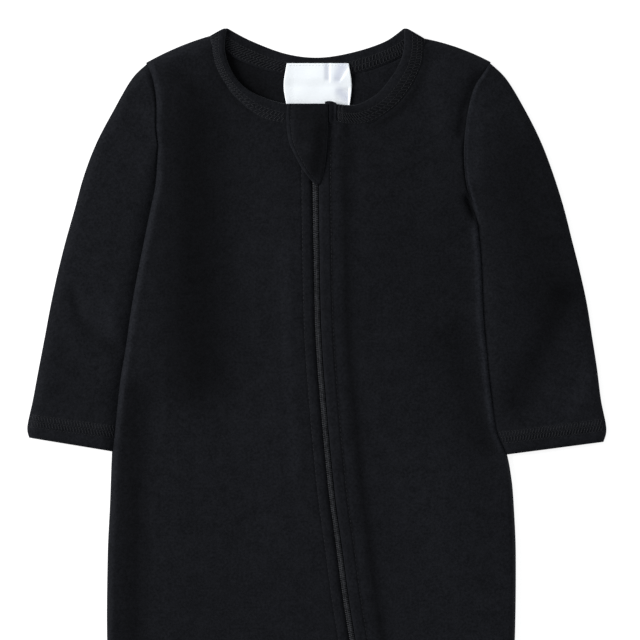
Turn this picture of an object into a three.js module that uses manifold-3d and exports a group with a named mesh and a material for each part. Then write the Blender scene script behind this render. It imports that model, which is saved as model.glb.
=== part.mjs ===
// A footed baby sleepsuit lying face up, laid flat on its back.
// Millimetres. +X is the viewer's right, +Y points to the neck and +Z up from the surface.
// The suit is a flat back, two soft fronts joined by a curved zip, two sleeves, a neckband,
// a petal-shaped chin guard over the zip's top, and two feet.

import * as THREE from 'three';
import { mergeVertices } from 'three/addons/utils/BufferGeometryUtils.js';
import Module from 'manifold-3d';

const wasm = await Module();
wasm.setup();

// Cloth and layers, from the surface up
const BACK_CLOTH = 1.2;
const FRONT_CLOTH = 1.4;
const SLEEVE_CLOTH = 1.3;
const SEAM_GAP = 0.3;
const SEAM_TOP = BACK_CLOTH + SEAM_GAP + FRONT_CLOTH;
const LOFT = 2.8;
const EDGE_ROUND = 9;
const EDGE_LIFT = 0.7;
const EDGE_LIFT_REACH = 1.5;

// Main levels along the suit
const CROTCH = { x: -3.7, y: -112 };
const ANKLE_Y = -262;
const TOE_Y = -320;
const ANKLE_HALF = 33;

// Neckband, zip, guard and label
const BAND_CLOTH = 2;
const BAND_PROUD = 0.5;
const SHOULDER_BAND_TOP = 2 * BAND_CLOTH + 0.8;
const COIL_HALF = 2.15;
const PLACKET_HALF = 2.5;
const TAPE_CLOTH = 1;
const ZIP_DIP = 0.9;
const TAPE_TOP = SEAM_TOP + LOFT - FRONT_CLOTH - SEAM_GAP - ZIP_DIP;
const COIL_TOP = SEAM_TOP + LOFT + 0.1;
const COIL_HEIGHT = COIL_TOP - TAPE_TOP - SEAM_GAP;
const TAPE_REACH = 11;
const TAPE_SPLIT = 0.15;
const ZIP_TOP_Y = 262;
const TAPE_TOP_Y = 271.6;
const GUARD_CLOTH = 1.5;
const LABEL_CLOTH = 1;
const SLIDER = {
  y: 252.5, length: 11, width: 8, plate: 1.2,
  lugWidth: 2.2, lugLength: 5.4, lugHeight: 2.9, post: 0.9, arch: 0.8,
};
const PULL = {
  length: 17, width: 5.4, plate: 1, bar: 1.6,
  slotWidth: 3.2, slotLength: 3.4, tilt: 2.5, lift: 0.4,
};
const BOTTOM_STOP = { width: 4.6, length: 3, plate: 1.2, aboveAnkle: 8 };
const BULGE = { spread: 8, overSlider: 3.2, overPull: 0.7 };

// Side edge of each half from shoulder tip to ankle: the armhole first, then the side fold
const SIDE_EDGE = {
  left: [
    { y: 298.2, x: -105.4 }, { y: 287.7, x: -101.8 }, { y: 275, x: -99.8 }, { y: 260, x: -100.3 },
    { y: 242, x: -99.3 }, { y: 222, x: -100.4 }, { y: 207, x: -103.5 }, { y: 188, x: -107.3 },
    { y: 153, x: -114.1 }, { y: 120, x: -119 }, { y: 100, x: -122.2 }, { y: 75, x: -124.8 },
    { y: 58, x: -126.5 }, { y: 25, x: -127.8 }, { y: -5, x: -129.2 }, { y: -60, x: -129.6 },
    { y: -112, x: -127 }, { y: -160, x: -121 }, { y: -215, x: -110 }, { y: -262, x: -101 },
  ],
  right: [
    { y: 298.6, x: 107.3 }, { y: 292, x: 103.8 }, { y: 284, x: 98.6 }, { y: 270, x: 94.6 },
    { y: 249, x: 92 }, { y: 235, x: 92 }, { y: 222, x: 93.6 }, { y: 211, x: 97 },
    { y: 198, x: 99.9 }, { y: 170, x: 102.3 }, { y: 139, x: 103.6 }, { y: 120, x: 105.4 },
    { y: 89, x: 108.6 }, { y: 70, x: 111.8 }, { y: 57, x: 117 }, { y: 40, x: 120.2 },
    { y: 25, x: 121.5 }, { y: -5, x: 122.8 }, { y: -60, x: 122.2 }, { y: -112, x: 119.6 },
    { y: -160, x: 113.6 }, { y: -215, x: 102.6 }, { y: -262, x: 93.6 },
  ],
};
const UNDERARM_Y = { left: 242, right: 207 };
const SHOULDER = {
  left: { tip: [-105.4, 298.2], neck: [-65.7, 314.7], bow: 1.4 },
  right: { tip: [107.3, 298.6], neck: [66.3, 312.9], bow: 1.8 },
};

// Inside edge of the left leg; the right leg mirrors it about the crotch
const INSEAM = [
  { y: -112, x: -3.7 }, { y: -125, x: -11 }, { y: -160, x: -21 }, { y: -215, x: -29 }, { y: -262, x: -35 },
];

// Middle of the zip, from the neck to the right ankle
const ZIP_LINE = [
  { y: 273, x: -1.2 }, { y: 223.8, x: -0.9 }, { y: 149.4, x: 0.2 }, { y: 120.3, x: 1.4 },
  { y: 89.3, x: 3.7 }, { y: 58.3, x: 6.4 }, { y: 27.3, x: 9.6 }, { y: -3.7, x: 13.9 },
  { y: -34.7, x: 18 }, { y: -59.5, x: 22 }, { y: -109, x: 29.8 }, { y: -190, x: 42 }, { y: -262, x: 48 },
];

// Neckband in front: its free edge (in) and its seam edge (out), from the shoulder to the zip
const BAND = {
  left: [
    { inX: -56.4, inY: 319.4, outX: -65.7, outY: 314.7 }, { inX: -57.7, inY: 308.8, outX: -65.1, outY: 305 },
    { inX: -55.8, inY: 298.8, outX: -62.6, outY: 296.4 }, { inX: -50.8, inY: 288.9, outX: -57, outY: 286.4 },
    { inX: -43.4, inY: 281.5, outX: -48.4, outY: 275.9 }, { inX: -32.2, inY: 275.9, outX: -34.7, outY: 264.7 },
    { inX: -19.8, inY: 272.5, outX: -20.5, outY: 261 }, { inX: -6.8, inY: 271.9, outX: -6.8, outY: 260.1 },
  ],
  right: [
    { inX: 54.6, inY: 319.4, outX: 66.3, outY: 312.9 }, { inX: 54.6, inY: 309.4, outX: 66.3, outY: 303.2 },
    { inX: 52.1, inY: 298.8, outX: 64.5, outY: 294.5 }, { inX: 45.9, inY: 288.3, outX: 58.3, outY: 282.1 },
    { inX: 37.2, inY: 278.4, outX: 48.4, outY: 270.3 }, { inX: 26, inY: 272.2, outX: 33.5, outY: 261 },
    { inX: 18.6, inY: 271.6, outX: 21.1, outY: 259.5 }, { inX: 12.4, inY: 272.2, outX: 12.4, outY: 261.6 },
  ],
};
const NECK_CORNER = { left: [-3.6, 260.1], right: [1.4, 261.3] };
const YOKE_SIDE_Y = { left: 242, right: 207 };

// Neckband behind the neck
const BACK_BAND = [
  { inX: -56.4, inY: 319.4, outX: -65.7, outY: 314.7 }, { inX: -41.5, inY: 311.9, outX: -52.7, outY: 302.6 },
  { inX: -19.8, inY: 303.8, outX: -29.1, outY: 293.3 }, { inX: 0.6, inY: 301.3, outX: 0.6, outY: 288.9 },
  { inX: 21.7, inY: 304.4, outX: 29.8, outY: 293.3 }, { inX: 42.2, inY: 311.2, outX: 53.3, outY: 302.6 },
  { inX: 54.6, inY: 319.4, outX: 66.3, outY: 312.9 },
];

// Sleeves: outer fold, and the level at which each section meets the body's side
const SLEEVE = {
  left: [
    { outX: -106, outY: 298.4, inY: 244 }, { outX: -115.9, outY: 288.3, inY: 238 },
    { outX: -127.1, outY: 267.8, inY: 230 }, { outX: -137, outY: 248, inY: 221 },
    { outX: -144.5, outY: 228.2, inY: 209 }, { outX: -150, outY: 208.3, inY: 194 },
    { outX: -155.6, outY: 188.5, inY: 178 }, { outX: -160.6, outY: 168.6, inY: 160 },
    { outX: -164.9, outY: 148.8, inY: 141 }, { outX: -168.6, outY: 129, inY: 122 },
    { outX: -172.4, outY: 109.1, inY: 102 }, { outX: -176.1, outY: 89.3, inY: 82 },
    { outX: -179.5, outY: 73, inY: 65.5 }, { outX: -178.4, outY: 66, inY: 57.3 },
  ],
  right: [
    { outX: 107.9, outY: 298.9, inY: 208 }, { outX: 118.6, outY: 288.2, inY: 205 },
    { outX: 130.2, outY: 267.8, inY: 201 }, { outX: 139.5, outY: 248, inY: 195 },
    { outX: 146.9, outY: 228.2, inY: 186 }, { outX: 153.1, outY: 208.3, inY: 175 },
    { outX: 158.1, outY: 188.5, inY: 162 }, { outX: 163.1, outY: 168.6, inY: 147 },
    { outX: 167.4, outY: 148.8, inY: 131 }, { outX: 170.5, outY: 129, inY: 114 },
    { outX: 173.6, outY: 109.1, inY: 97 }, { outX: 176.1, outY: 89.3, inY: 79 },
    { outX: 179.4, outY: 71.9, inY: 64 }, { outX: 177.6, outY: 63.4, inY: 55.4 },
  ],
};
const SLEEVE_CLEAR = 0.6;
const CUFF_LIFT = { left: 0.5, right: 2.4 };

// Chin guard: a petal that narrows to a tip on the zip
const GUARD = [
  { y: 272.5, left: -18, right: 6.4 }, { y: 264.4, left: -18.4, right: 6.3 },
  { y: 256.7, left: -18.1, right: 6.2 }, { y: 248.9, left: -16.7, right: 5.9 },
  { y: 241.2, left: -13.3, right: 5.2 }, { y: 233.4, left: -9, right: 4.2 },
  { y: 226.4, left: -3.8, right: 2.9 }, { y: 223.2, left: -1, right: 1.7 },
];

// Label behind the neck, with slightly waisted ends
const LABEL = [
  { y: 297.9, left: -18.6, right: 19.7 }, { y: 284.5, left: -20.6, right: 21.5 },
  { y: 272, left: -18.9, right: 20.3 },
];

// Largest creases: soft troughs (height below zero) and ridges between two points
const BODY_FOLDS = [
  { x1: -57, y1: 266, x2: -52, y2: 84, width: 19, height: -1.5 },
  { x1: -21, y1: 196, x2: -22, y2: 34, width: 10, height: 0.6 },
  { x1: -104, y1: 92, x2: -106, y2: -70, width: 9, height: -1 },
  { x1: 92, y1: 190, x2: 98, y2: 112, width: 9, height: -1 },
  { x1: 80, y1: 122, x2: 108, y2: 62, width: 10, height: -1.1 },
  { x1: 60, y1: 120, x2: 70, y2: -30, width: 20, height: 0.6 },
  { x1: 22, y1: 240, x2: 23, y2: 110, width: 5, height: -0.7 },
  { x1: 23, y1: 110, x2: 44, y2: -60, width: 5.5, height: -0.9 },
  { x1: -118, y1: -60, x2: -70, y2: -92, width: 10, height: -0.8 },
  { x1: -112, y1: -165, x2: -60, y2: -150, width: 9, height: -0.9 },
  { x1: 108, y1: -150, x2: 66, y2: -172, width: 9, height: -0.8 },
  { x1: -92, y1: -225, x2: -58, y2: -238, width: 8, height: -0.7 },
  { x1: 90, y1: -232, x2: 64, y2: -222, width: 8, height: -0.7 },
];
const SLEEVE_FOLDS = [
  { x1: -150, y1: 157, x2: -128, y2: 120, width: 7, height: -1.3 },
  { x1: -143, y1: 156, x2: -124, y2: 137, width: 7, height: 0.5 },
  { x1: 164, y1: 142, x2: 142, y2: 118, width: 11, height: -1.4 },
  { x1: 142, y1: 118, x2: 124, y2: 84, width: 11, height: -1.4 },
  { x1: 158, y1: 214, x2: 164, y2: 160, width: 15, height: -0.8 },
  { x1: 112, y1: 238, x2: 120, y2: 130, width: 14, height: 0.5 },
];

// Where the columns and rows of a piece stand, closer together beside an edge
const EDGE_TO_EDGE = [0, 0.015, 0.045, 0.1, 0.22, 0.4, 0.6, 0.78, 0.9, 0.955, 0.985, 1];
const EDGE_TO_MIDDLE = [0, 0.015, 0.045, 0.1, 0.22, 0.38, 0.55, 0.7, 0.85, 1];
const STRIP = [0, 0.07, 0.2, 0.45, 1];
const ROWS_PER_SPAN = 2;
const SKIRT_ROWS = 24;
const BAND_STEPS = ROWS_PER_SPAN * (BAND.left.length - 1);
const YOKE_ROWS = BAND_STEPS + ROWS_PER_SPAN;
const LEG_ROWS = 10;
const OUTLINE_STEPS = { side: 48, inseam: 14, neck: 24, shoulder: 6 };
const FOOT_LEVELS = [0, 0.1, 0.22, 0.36, 0.5, 0.63, 0.75, 0.84, 0.91, 0.96, 0.99];
const SLEEVE_STATIONS = 20;
const SLEEVE_BOWED = 5;
const SLEEVE_OVER = [0, 0.02, 0.06, 0.13, 0.24, 0.37, 0.5, 0.63, 0.76, 0.87, 0.94, 0.98, 1];
const SLEEVE_UNDER = [1, 0.97, 0.76, 0.5, 0.24, 0.03, 0];
const ZIP_STEPS = 36;
const GUARD_LEVELS = [272.5, 268, 263, 258.5, 254, 250, 246, 242, 238.5, 235, 231.5, 228.5, 226, 224.2, 223.2];
const GUARD_COLUMNS = [0, 0.08, 0.22, 0.4, 0.55, 0.68, 0.8, 0.92, 1];
const LABEL_LEVELS = [297.9, 294, 290, 287, 284, 280, 276, 272];
const LABEL_COLUMNS = [0, 0.25, 0.5, 0.75, 1];

// A band's section: where each column stands from the seam to the free edge, and how far it drops
const BAND_SECTION = [
  { across: 0, drop: 0.5 }, { across: 0.12, drop: 0.1 }, { across: 0.35, drop: 0 },
  { across: 0.65, drop: 0 }, { across: 0.88, drop: 0.1 }, { across: 1, drop: 0.4 },
];

const clothMaterial = () => new THREE.MeshStandardMaterial({ color: 0x17181b, roughness: 0.95, metalness: 0 });
const bandMaterial = () => new THREE.MeshStandardMaterial({ color: 0x1a1b1e, roughness: 0.95, metalness: 0 });
const tapeMaterial = () => new THREE.MeshStandardMaterial({ color: 0x121316, roughness: 0.85, metalness: 0 });
const coilMaterial = () => new THREE.MeshStandardMaterial({ color: 0x3a3c40, roughness: 0.5, metalness: 0 });
const metalMaterial = () => new THREE.MeshStandardMaterial({ color: 0x1c1c1e, roughness: 0.4, metalness: 0.7 });
const labelMaterial = () => new THREE.MeshStandardMaterial({ color: 0xe9ebee, roughness: 0.35, metalness: 0 });

const suit = new THREE.Group();

function add(name, geometry, material) {
  const mesh = new THREE.Mesh(geometry, material);
  mesh.name = name;
  suit.add(mesh);
}

const mix = (a, b, t) => a + (b - a) * t;
const clamp = (value) => Math.min(Math.max(value, 0), 1);

// Zero at the start, one at the end, with flat ends
function ease(start, end, value) {
  const t = clamp((value - start) / (end - start));
  return t * t * (3 - 2 * t);
}

// A smooth curve through one column of a table whose rows run down in y
function columnAt(rows, column, y) {
  const last = rows.length - 2;
  let i = 0;
  while (i < last && y < rows[i + 1].y) i += 1;
  const [a, b] = [rows[i], rows[i + 1]];
  const span = b.y - a.y;
  const before = rows[Math.max(i - 1, 0)];
  const after = rows[Math.min(i + 2, rows.length - 1)];
  const slopeA = (b[column] - before[column]) / (b.y - before.y);
  const slopeB = (after[column] - a[column]) / (after.y - a.y);
  const t = clamp((y - a.y) / span);
  const bend = t * t * (3 - 2 * t);
  const leave = t * (1 - t) * (1 - t) * slopeA * span;
  const arrive = t * t * (1 - t) * slopeB * span;
  return mix(a[column], b[column], bend) + leave - arrive;
}

const sideX = (half, y) => columnAt(SIDE_EDGE[half], 'x', y);
const zipX = (y) => columnAt(ZIP_LINE, 'x', y);
const inseamX = (half, y) => {
  const left = columnAt(INSEAM, 'x', y);
  return half === 'left' ? left : 2 * CROTCH.x - left;
};

// Height gained within the rounded edge of a panel, by the distance from that edge
function rise(distance) {
  const t = clamp(distance / EDGE_ROUND);
  return 1 - (1 - t) * (1 - t);
}

function foldsAt(folds, x, y) {
  let height = 0;
  for (const fold of folds) {
    const [dx, dy] = [fold.x2 - fold.x1, fold.y2 - fold.y1];
    const along = clamp(((x - fold.x1) * dx + (y - fold.y1) * dy) / (dx * dx + dy * dy));
    const away = Math.hypot(x - fold.x1 - along * dx, y - fold.y1 - along * dy) / fold.width;
    height += fold.height * Math.exp(-away * away);
  }
  return height;
}

// Height of the shoulder seam's bow above its chord, at a share of the way along it
const shoulderBow = (half, share) => SHOULDER[half].bow * 4 * share * (1 - share);

// Distance below the shoulder seam of one half
function belowShoulder(half, x, y) {
  const { tip, neck } = SHOULDER[half];
  const [dx, dy] = [neck[0] - tip[0], neck[1] - tip[1]];
  const chord = Math.hypot(dx, dy);
  const share = clamp(((x - tip[0]) * dx + (y - tip[1]) * dy) / (chord * chord));
  const below = Math.sign(dx) * ((x - tip[0]) * dy - (y - tip[1]) * dx) / chord;
  return Math.max(below + shoulderBow(half, share), 0);
}

// How far the front has risen from its seams: 0 on a seam, 1 in the open
function openness(half, x, y) {
  const onSide = ease(UNDERARM_Y[half] + 4, UNDERARM_Y[half] - 16, y);
  const side = mix(1, rise(Math.abs(x - sideX(half, y))), onSide);
  const shoulder = rise(belowShoulder(half, x, y));
  const leg = x < CROTCH.x ? 'left' : 'right';
  const seam = y < CROTCH.y ? Math.abs(x - inseamX(leg, y)) : Math.hypot(x - CROTCH.x, y - CROTCH.y);
  return side * shoulder * rise(seam);
}

// Top of the front cloth
function frontTop(x, y) {
  const half = x < zipX(y) ? 'left' : 'right';
  return SEAM_TOP + openness(half, x, y) * (LOFT + foldsAt(BODY_FOLDS, x, y));
}

// A closed wall under a surface that is given as patches of rows; columns run to +X, rows to -Y
function wall(patches, thickness) {
  const index = new Map();
  const top = [];
  const vertex = (p) => {
    const key = `${p.x.toFixed(3)} ${p.y.toFixed(3)}`;
    if (!index.has(key)) {
      index.set(key, top.length);
      top.push(p);
    }
    return index.get(key);
  };
  const faces = [];
  for (const rows of patches) {
    for (let r = 0; r + 1 < rows.length; r += 1) {
      for (let c = 0; c + 1 < rows[r].length; c += 1) {
        const corners = [rows[r][c], rows[r + 1][c], rows[r + 1][c + 1], rows[r][c + 1]].map(vertex);
        faces.push([corners[0], corners[1], corners[2]], [corners[0], corners[2], corners[3]]);
      }
    }
  }
  const edges = new Set(faces.flatMap(([a, b, c]) => [`${a} ${b}`, `${b} ${c}`, `${c} ${a}`]));
  const under = top.length;
  const triangles = [...faces, ...faces.map(([a, b, c]) => [under + a, under + c, under + b])];
  for (const edge of edges) {
    const [a, b] = edge.split(' ').map(Number);
    if (!edges.has(`${b} ${a}`)) {
      triangles.push([b, a, under + a], [b, under + a, under + b]);
    }
  }
  const points = [...top, ...top.map((p) => new THREE.Vector3(p.x, p.y, p.z - thickness))];
  return surface(points, triangles);
}

function surface(points, triangles) {
  const geometry = new THREE.BufferGeometry().setFromPoints(points);
  geometry.setIndex(triangles.flat());
  geometry.computeVertexNormals();
  return geometry;
}

// A flat plate from an outline of [x, y] points
function plate(outline, thickness, bottom = 0) {
  const shape = new THREE.Shape(outline.map(([x, y]) => new THREE.Vector2(x, y)));
  const geometry = new THREE.ExtrudeGeometry(shape, { depth: thickness, bevelEnabled: false });
  return geometry.translate(0, 0, bottom);
}

const onFront = (x, y) => new THREE.Vector3(x, y, frontTop(x, y));

// A point of a band table's free or seam edge; t runs from 0 to 1 along the band
function bandCurve(rows, edge) {
  return new THREE.SplineCurve(rows.map((row) => new THREE.Vector2(row[`${edge}X`], row[`${edge}Y`])));
}

// The panel's neck edge: the band's seam edge moved off by the seam gap, then on to the zip
function neckEdge(half) {
  const points = BAND[half].map(({ inX, inY, outX, outY }) => {
    const away = new THREE.Vector2(outX - inX, outY - inY).setLength(SEAM_GAP);
    return new THREE.Vector2(outX, outY).add(away);
  });
  return new THREE.SplineCurve([...points, new THREE.Vector2(...NECK_CORNER[half])]);
}

// Rows from the shoulder seam to the crotch, each from the side edge to the zip
function torsoRows(half, fractions) {
  const toZip = half === 'left' ? -PLACKET_HALF : PLACKET_HALF;
  const neck = neckEdge(half);
  const ends = [];
  for (let i = 0; i <= YOKE_ROWS; i += 1) {
    const t = i / YOKE_ROWS;
    const y = mix(SHOULDER[half].tip[1], YOKE_SIDE_Y[half], t);
    ends.push({ side: [sideX(half, y), y], middle: neck.getPoint(t).toArray(), bowed: (1 - t) ** 2 });
  }
  for (let i = 1; i <= SKIRT_ROWS; i += 1) {
    const t = i / SKIRT_ROWS;
    const sideY = mix(YOKE_SIDE_Y[half], CROTCH.y, t);
    const middleY = mix(NECK_CORNER[half][1], CROTCH.y, t);
    ends.push({ side: [sideX(half, sideY), sideY], middle: [zipX(middleY) + toZip, middleY], bowed: 0 });
  }
  return ends.map(({ side, middle, bowed }) => {
    const y = (f) => mix(side[1], middle[1], f) + shoulderBow(half, f) * bowed;
    const row = fractions.map((f) => onFront(mix(side[0], middle[0], f), y(f)));
    return half === 'left' ? row : row.reverse();
  });
}

// Rows down a leg between two edges given as functions of y
function legRows(from, to, fractions) {
  const rows = [];
  for (let i = 0; i <= LEG_ROWS; i += 1) {
    const y = mix(CROTCH.y, ANKLE_Y, i / LEG_ROWS);
    rows.push(fractions.map((f) => onFront(mix(from(y), to(y), f), y)));
  }
  return rows;
}

function frontLeft() {
  const zipEdge = (y) => zipX(y) - PLACKET_HALF;
  const [side, edge] = [sideX('left', CROTCH.y), zipEdge(CROTCH.y)];
  const share = (CROTCH.x - side) / (edge - side);
  const fractions = EDGE_TO_EDGE.map((f) => f * share);
  STRIP.slice(1).forEach((f) => fractions.push(mix(share, 1, f)));
  const leg = legRows((y) => sideX('left', y), (y) => inseamX('left', y), EDGE_TO_EDGE);
  const strip = legRows((y) => inseamX('right', y), zipEdge, STRIP);
  return wall([torsoRows('left', fractions), leg, strip], FRONT_CLOTH);
}

function frontRight() {
  const zipEdge = (y) => zipX(y) + PLACKET_HALF;
  const fractions = EDGE_TO_MIDDLE.map((f) => 1 - f).reverse();
  const leg = legRows(zipEdge, (y) => sideX('right', y), fractions);
  return wall([torsoRows('right', EDGE_TO_MIDDLE), leg], FRONT_CLOTH);
}

// The back: one flat panel from the shoulders to both ankles
function back() {
  const levels = (from, to, count) => Array.from({ length: count + 1 }, (_, i) => mix(from, to, i / count));
  const steps = OUTLINE_STEPS;
  const down = (half) => levels(SHOULDER[half].tip[1], ANKLE_Y, steps.side).map((y) => [sideX(half, y), y]);
  const inside = (half) => levels(ANKLE_Y, CROTCH.y, steps.inseam).map((y) => [inseamX(half, y), y]);
  const shoulder = (half) => levels(0, 1, steps.shoulder).slice(1, -1).map((f) => {
    const { tip, neck } = SHOULDER[half];
    return [mix(tip[0], neck[0], f), mix(tip[1], neck[1], f) + shoulderBow(half, f)];
  });
  const neck = bandCurve(BACK_BAND, 'out').getPoints(steps.neck).map((p) => [p.x, p.y - SEAM_GAP]);
  const outline = [...down('left'), ...inside('left'), ...inside('right').reverse().slice(1)];
  outline.push(...down('right').reverse(), ...shoulder('right'), ...neck.reverse());
  outline.push(...shoulder('left').reverse());
  return plate(outline, BACK_CLOTH);
}

// A foot's half width down from the ankle: fuller over the ball, round at the toe
const footHalf = (t) => ANKLE_HALF * Math.sqrt(1 - t ** 3.2) * (1 + 0.13 * Math.sin(Math.PI * t));
const footCentre = (half) => (sideX(half, ANKLE_Y) + inseamX(half, ANKLE_Y)) / 2;
const footLevel = (t) => mix(ANKLE_Y - SEAM_GAP, TOE_Y, t);

function footTop(half) {
  const centre = footCentre(half);
  const rows = FOOT_LEVELS.map((t) => EDGE_TO_EDGE.map((f) => {
    const wide = footHalf(t);
    const x = centre + wide * (2 * f - 1);
    const y = footLevel(t);
    const toSide = rise(wide - Math.abs(x - centre));
    return new THREE.Vector3(x, y, SEAM_TOP + LOFT * toSide * rise(y - TOE_Y));
  }));
  return wall([rows], FRONT_CLOTH);
}

function sole(half) {
  const centre = footCentre(half);
  const right = FOOT_LEVELS.map((t) => [centre + footHalf(t), footLevel(t)]);
  const left = FOOT_LEVELS.map((t) => [centre - footHalf(t), footLevel(t)]);
  return plate([...left, ...right.reverse()], BACK_CLOTH);
}

// A sleeve's section lines in plan, each from the outer fold (s = 0) to the body's side (s = 1);
// the first few bend along the armhole
function sleevePlan(half) {
  const clear = half === 'left' ? -SLEEVE_CLEAR : SLEEVE_CLEAR;
  const outer = new THREE.SplineCurve(SLEEVE[half].map((row) => new THREE.Vector2(row.outX, row.outY)));
  const inner = new THREE.SplineCurve(SLEEVE[half].map((row) => new THREE.Vector2(0, row.inY)));
  const bodyX = (y) => sideX(half, y) + clear;
  const tip = outer.getPoint(0);
  const underarm = inner.getPoint(0).y;
  return (station, s) => {
    const t = station / SLEEVE_STATIONS;
    const meetY = inner.getPoint(t).y;
    const point = outer.getPoint(t).lerp(new THREE.Vector2(bodyX(meetY), meetY), s);
    const bow = bodyX(mix(tip.y, underarm, s)) - mix(tip.x, bodyX(underarm), s);
    point.x += bow * ease(SLEEVE_BOWED, 0, station);
    return point;
  };
}

// Height of a sleeve's upper cloth, and how far its rounded edges lift off the surface
function sleeveTop(width, s, point) {
  const edges = rise(s * width) * rise((1 - s) * width);
  return SEAM_TOP + edges * (LOFT + foldsAt(SLEEVE_FOLDS, point.x, point.y));
}

const sleeveUnder = (width, s) => EDGE_LIFT * (1 - clamp(Math.min(s, 1 - s) * width / EDGE_LIFT_REACH));

// A sleeve: a flattened tube of cloth, open at the armhole and at the cuff
function sleeve(half) {
  const plan = sleevePlan(half);
  const ring = (station, inside) => {
    const width = plan(station, 0).distanceTo(plan(station, 1));
    const inset = inside ? SLEEVE_CLOTH / width : 0;
    const lift = station === SLEEVE_STATIONS ? CUFF_LIFT[half] : 0;
    const over = SLEEVE_OVER.map((f) => {
      const s = mix(inset, 1 - inset, f);
      const p = plan(station, s);
      p.y += lift;
      return new THREE.Vector3(p.x, p.y, sleeveTop(width, s, p) - (inside ? SLEEVE_CLOTH : 0));
    });
    const under = SLEEVE_UNDER.map((f) => {
      const s = mix(inset, 1 - inset, f);
      const p = plan(station, s);
      return new THREE.Vector3(p.x, p.y, inside ? SLEEVE_CLOTH : sleeveUnder(width, s));
    });
    return [...over, ...under];
  };
  const stations = Array.from({ length: SLEEVE_STATIONS + 1 }, (_, k) => k);
  return tube(stations.map((k) => ring(k, false)), stations.map((k) => ring(k, true)), half === 'left');
}

// Joins rings of points into a tube wall with open ends
function tube(outer, inner, turned) {
  const count = outer[0].length;
  const last = outer.length - 1;
  const points = [...outer.flat(), ...inner.flat()];
  const insideStart = outer.length * count;
  const at = (ring, i, layer) => layer * insideStart + ring * count + (i % count);
  const triangles = [];
  const quad = (a, b, c, d) => {
    const pair = [[a, b, c], [a, c, d]];
    triangles.push(...pair.map(([p, q, r]) => (turned ? [p, r, q] : [p, q, r])));
  };
  for (let i = 0; i < count; i += 1) {
    for (let k = 0; k < last; k += 1) {
      quad(at(k, i, 0), at(k, i + 1, 0), at(k + 1, i + 1, 0), at(k + 1, i, 0));
      quad(at(k, i, 1), at(k + 1, i, 1), at(k + 1, i + 1, 1), at(k, i + 1, 1));
    }
    quad(at(0, i, 0), at(0, i, 1), at(0, i + 1, 1), at(0, i + 1, 0));
    quad(at(last, i, 0), at(last, i + 1, 0), at(last, i + 1, 1), at(last, i, 1));
  }
  return surface(points, triangles);
}

// A folded band between its free and seam edges, crowned across; in front it stands a little proud
function band(rows, steps, heightAt, turned) {
  const free = bandCurve(rows, 'in');
  const seam = bandCurve(rows, 'out');
  const grid = [];
  for (let i = 0; i <= steps; i += 1) {
    const [a, b] = [seam.getPoint(i / steps), free.getPoint(i / steps)];
    const row = BAND_SECTION.map(({ across, drop }) => {
      const [x, y] = [mix(a.x, b.x, across), mix(a.y, b.y, across)];
      return new THREE.Vector3(x, y, heightAt(x, y) - drop);
    });
    grid.push(turned ? row.reverse() : row);
  }
  return wall([grid], BAND_CLOTH);
}

// The front band starts on the back band at the shoulder and rises to the front's own level
function frontBand(half) {
  const start = BAND[half][0].inY;
  const top = (x, y) => {
    const away = rise((start - y) / 2);
    return mix(SHOULDER_BAND_TOP, SEAM_TOP + LOFT + BAND_PROUD, away);
  };
  return band(BAND[half], BAND_STEPS, top, half === 'right');
}

function backBand() {
  const outline = bandCurve(BACK_BAND, 'in').getPoints(OUTLINE_STEPS.neck).map((p) => [p.x, p.y]);
  const seam = bandCurve(BACK_BAND, 'out').getPoints(OUTLINE_STEPS.neck);
  outline.push(...seam.reverse().map((p) => [p.x, p.y]));
  return plate(outline.reverse(), BAND_CLOTH);
}

// A level strip that follows the zip between two offsets from its middle
function zipStrip(from, to, fromY, toY, top, thickness) {
  const rows = [];
  for (let i = 0; i <= ZIP_STEPS; i += 1) {
    const y = mix(fromY, toY, i / ZIP_STEPS);
    rows.push([from, to].map((offset) => new THREE.Vector3(zipX(y) + offset, y, top)));
  }
  return wall([rows], thickness);
}

// The guard clears the slider and its pull by a soft bulge
function guardTop(x, y) {
  const over = Math.exp(-(((x - zipX(y)) / BULGE.spread) ** 2));
  const slider = BULGE.overSlider * ease(266, 257, y) * ease(226, 246, y);
  const tip = BULGE.overPull * ease(226, 232, y);
  const onBand = BAND_PROUD * ease(257, 261, y);
  return SEAM_TOP + LOFT + SEAM_GAP + GUARD_CLOTH + onBand + over * (slider + tip);
}

// A wall whose rows span a table's left and right edges at the given levels
function spanned(table, levels, columns, topAt, thickness) {
  const rows = levels.map((y) => columns.map((f) => {
    const x = mix(columnAt(table, 'left', y), columnAt(table, 'right', y), f);
    return new THREE.Vector3(x, y, topAt(x, y));
  }));
  return wall([rows], thickness);
}

const guard = () => spanned(GUARD, GUARD_LEVELS, GUARD_COLUMNS, guardTop, GUARD_CLOTH);

// The label lies over the back band's seam and then on the back itself
function label() {
  const top = (x, y) => mix(BACK_CLOTH, BAND_CLOTH, ease(284, 289, y)) + SEAM_GAP + LABEL_CLOTH;
  return spanned(LABEL, LABEL_LEVELS, LABEL_COLUMNS, top, LABEL_CLOTH);
}

// Booleans on closed meshes
function solid(geometry) {
  const bare = geometry.clone().deleteAttribute('normal').deleteAttribute('uv');
  const merged = mergeVertices(bare, 1e-4);
  const vertProperties = new Float32Array(merged.attributes.position.array);
  const triVerts = new Uint32Array(merged.index.array);
  return new wasm.Manifold(new wasm.Mesh({ numProp: 3, vertProperties, triVerts }));
}

function fromSolid(manifold) {
  const { vertProperties, triVerts } = manifold.getMesh();
  const geometry = new THREE.BufferGeometry();
  geometry.setAttribute('position', new THREE.BufferAttribute(new Float32Array(vertProperties), 3));
  geometry.setIndex(new THREE.BufferAttribute(new Uint32Array(triVerts), 1));
  geometry.computeVertexNormals();
  return geometry;
}

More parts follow.
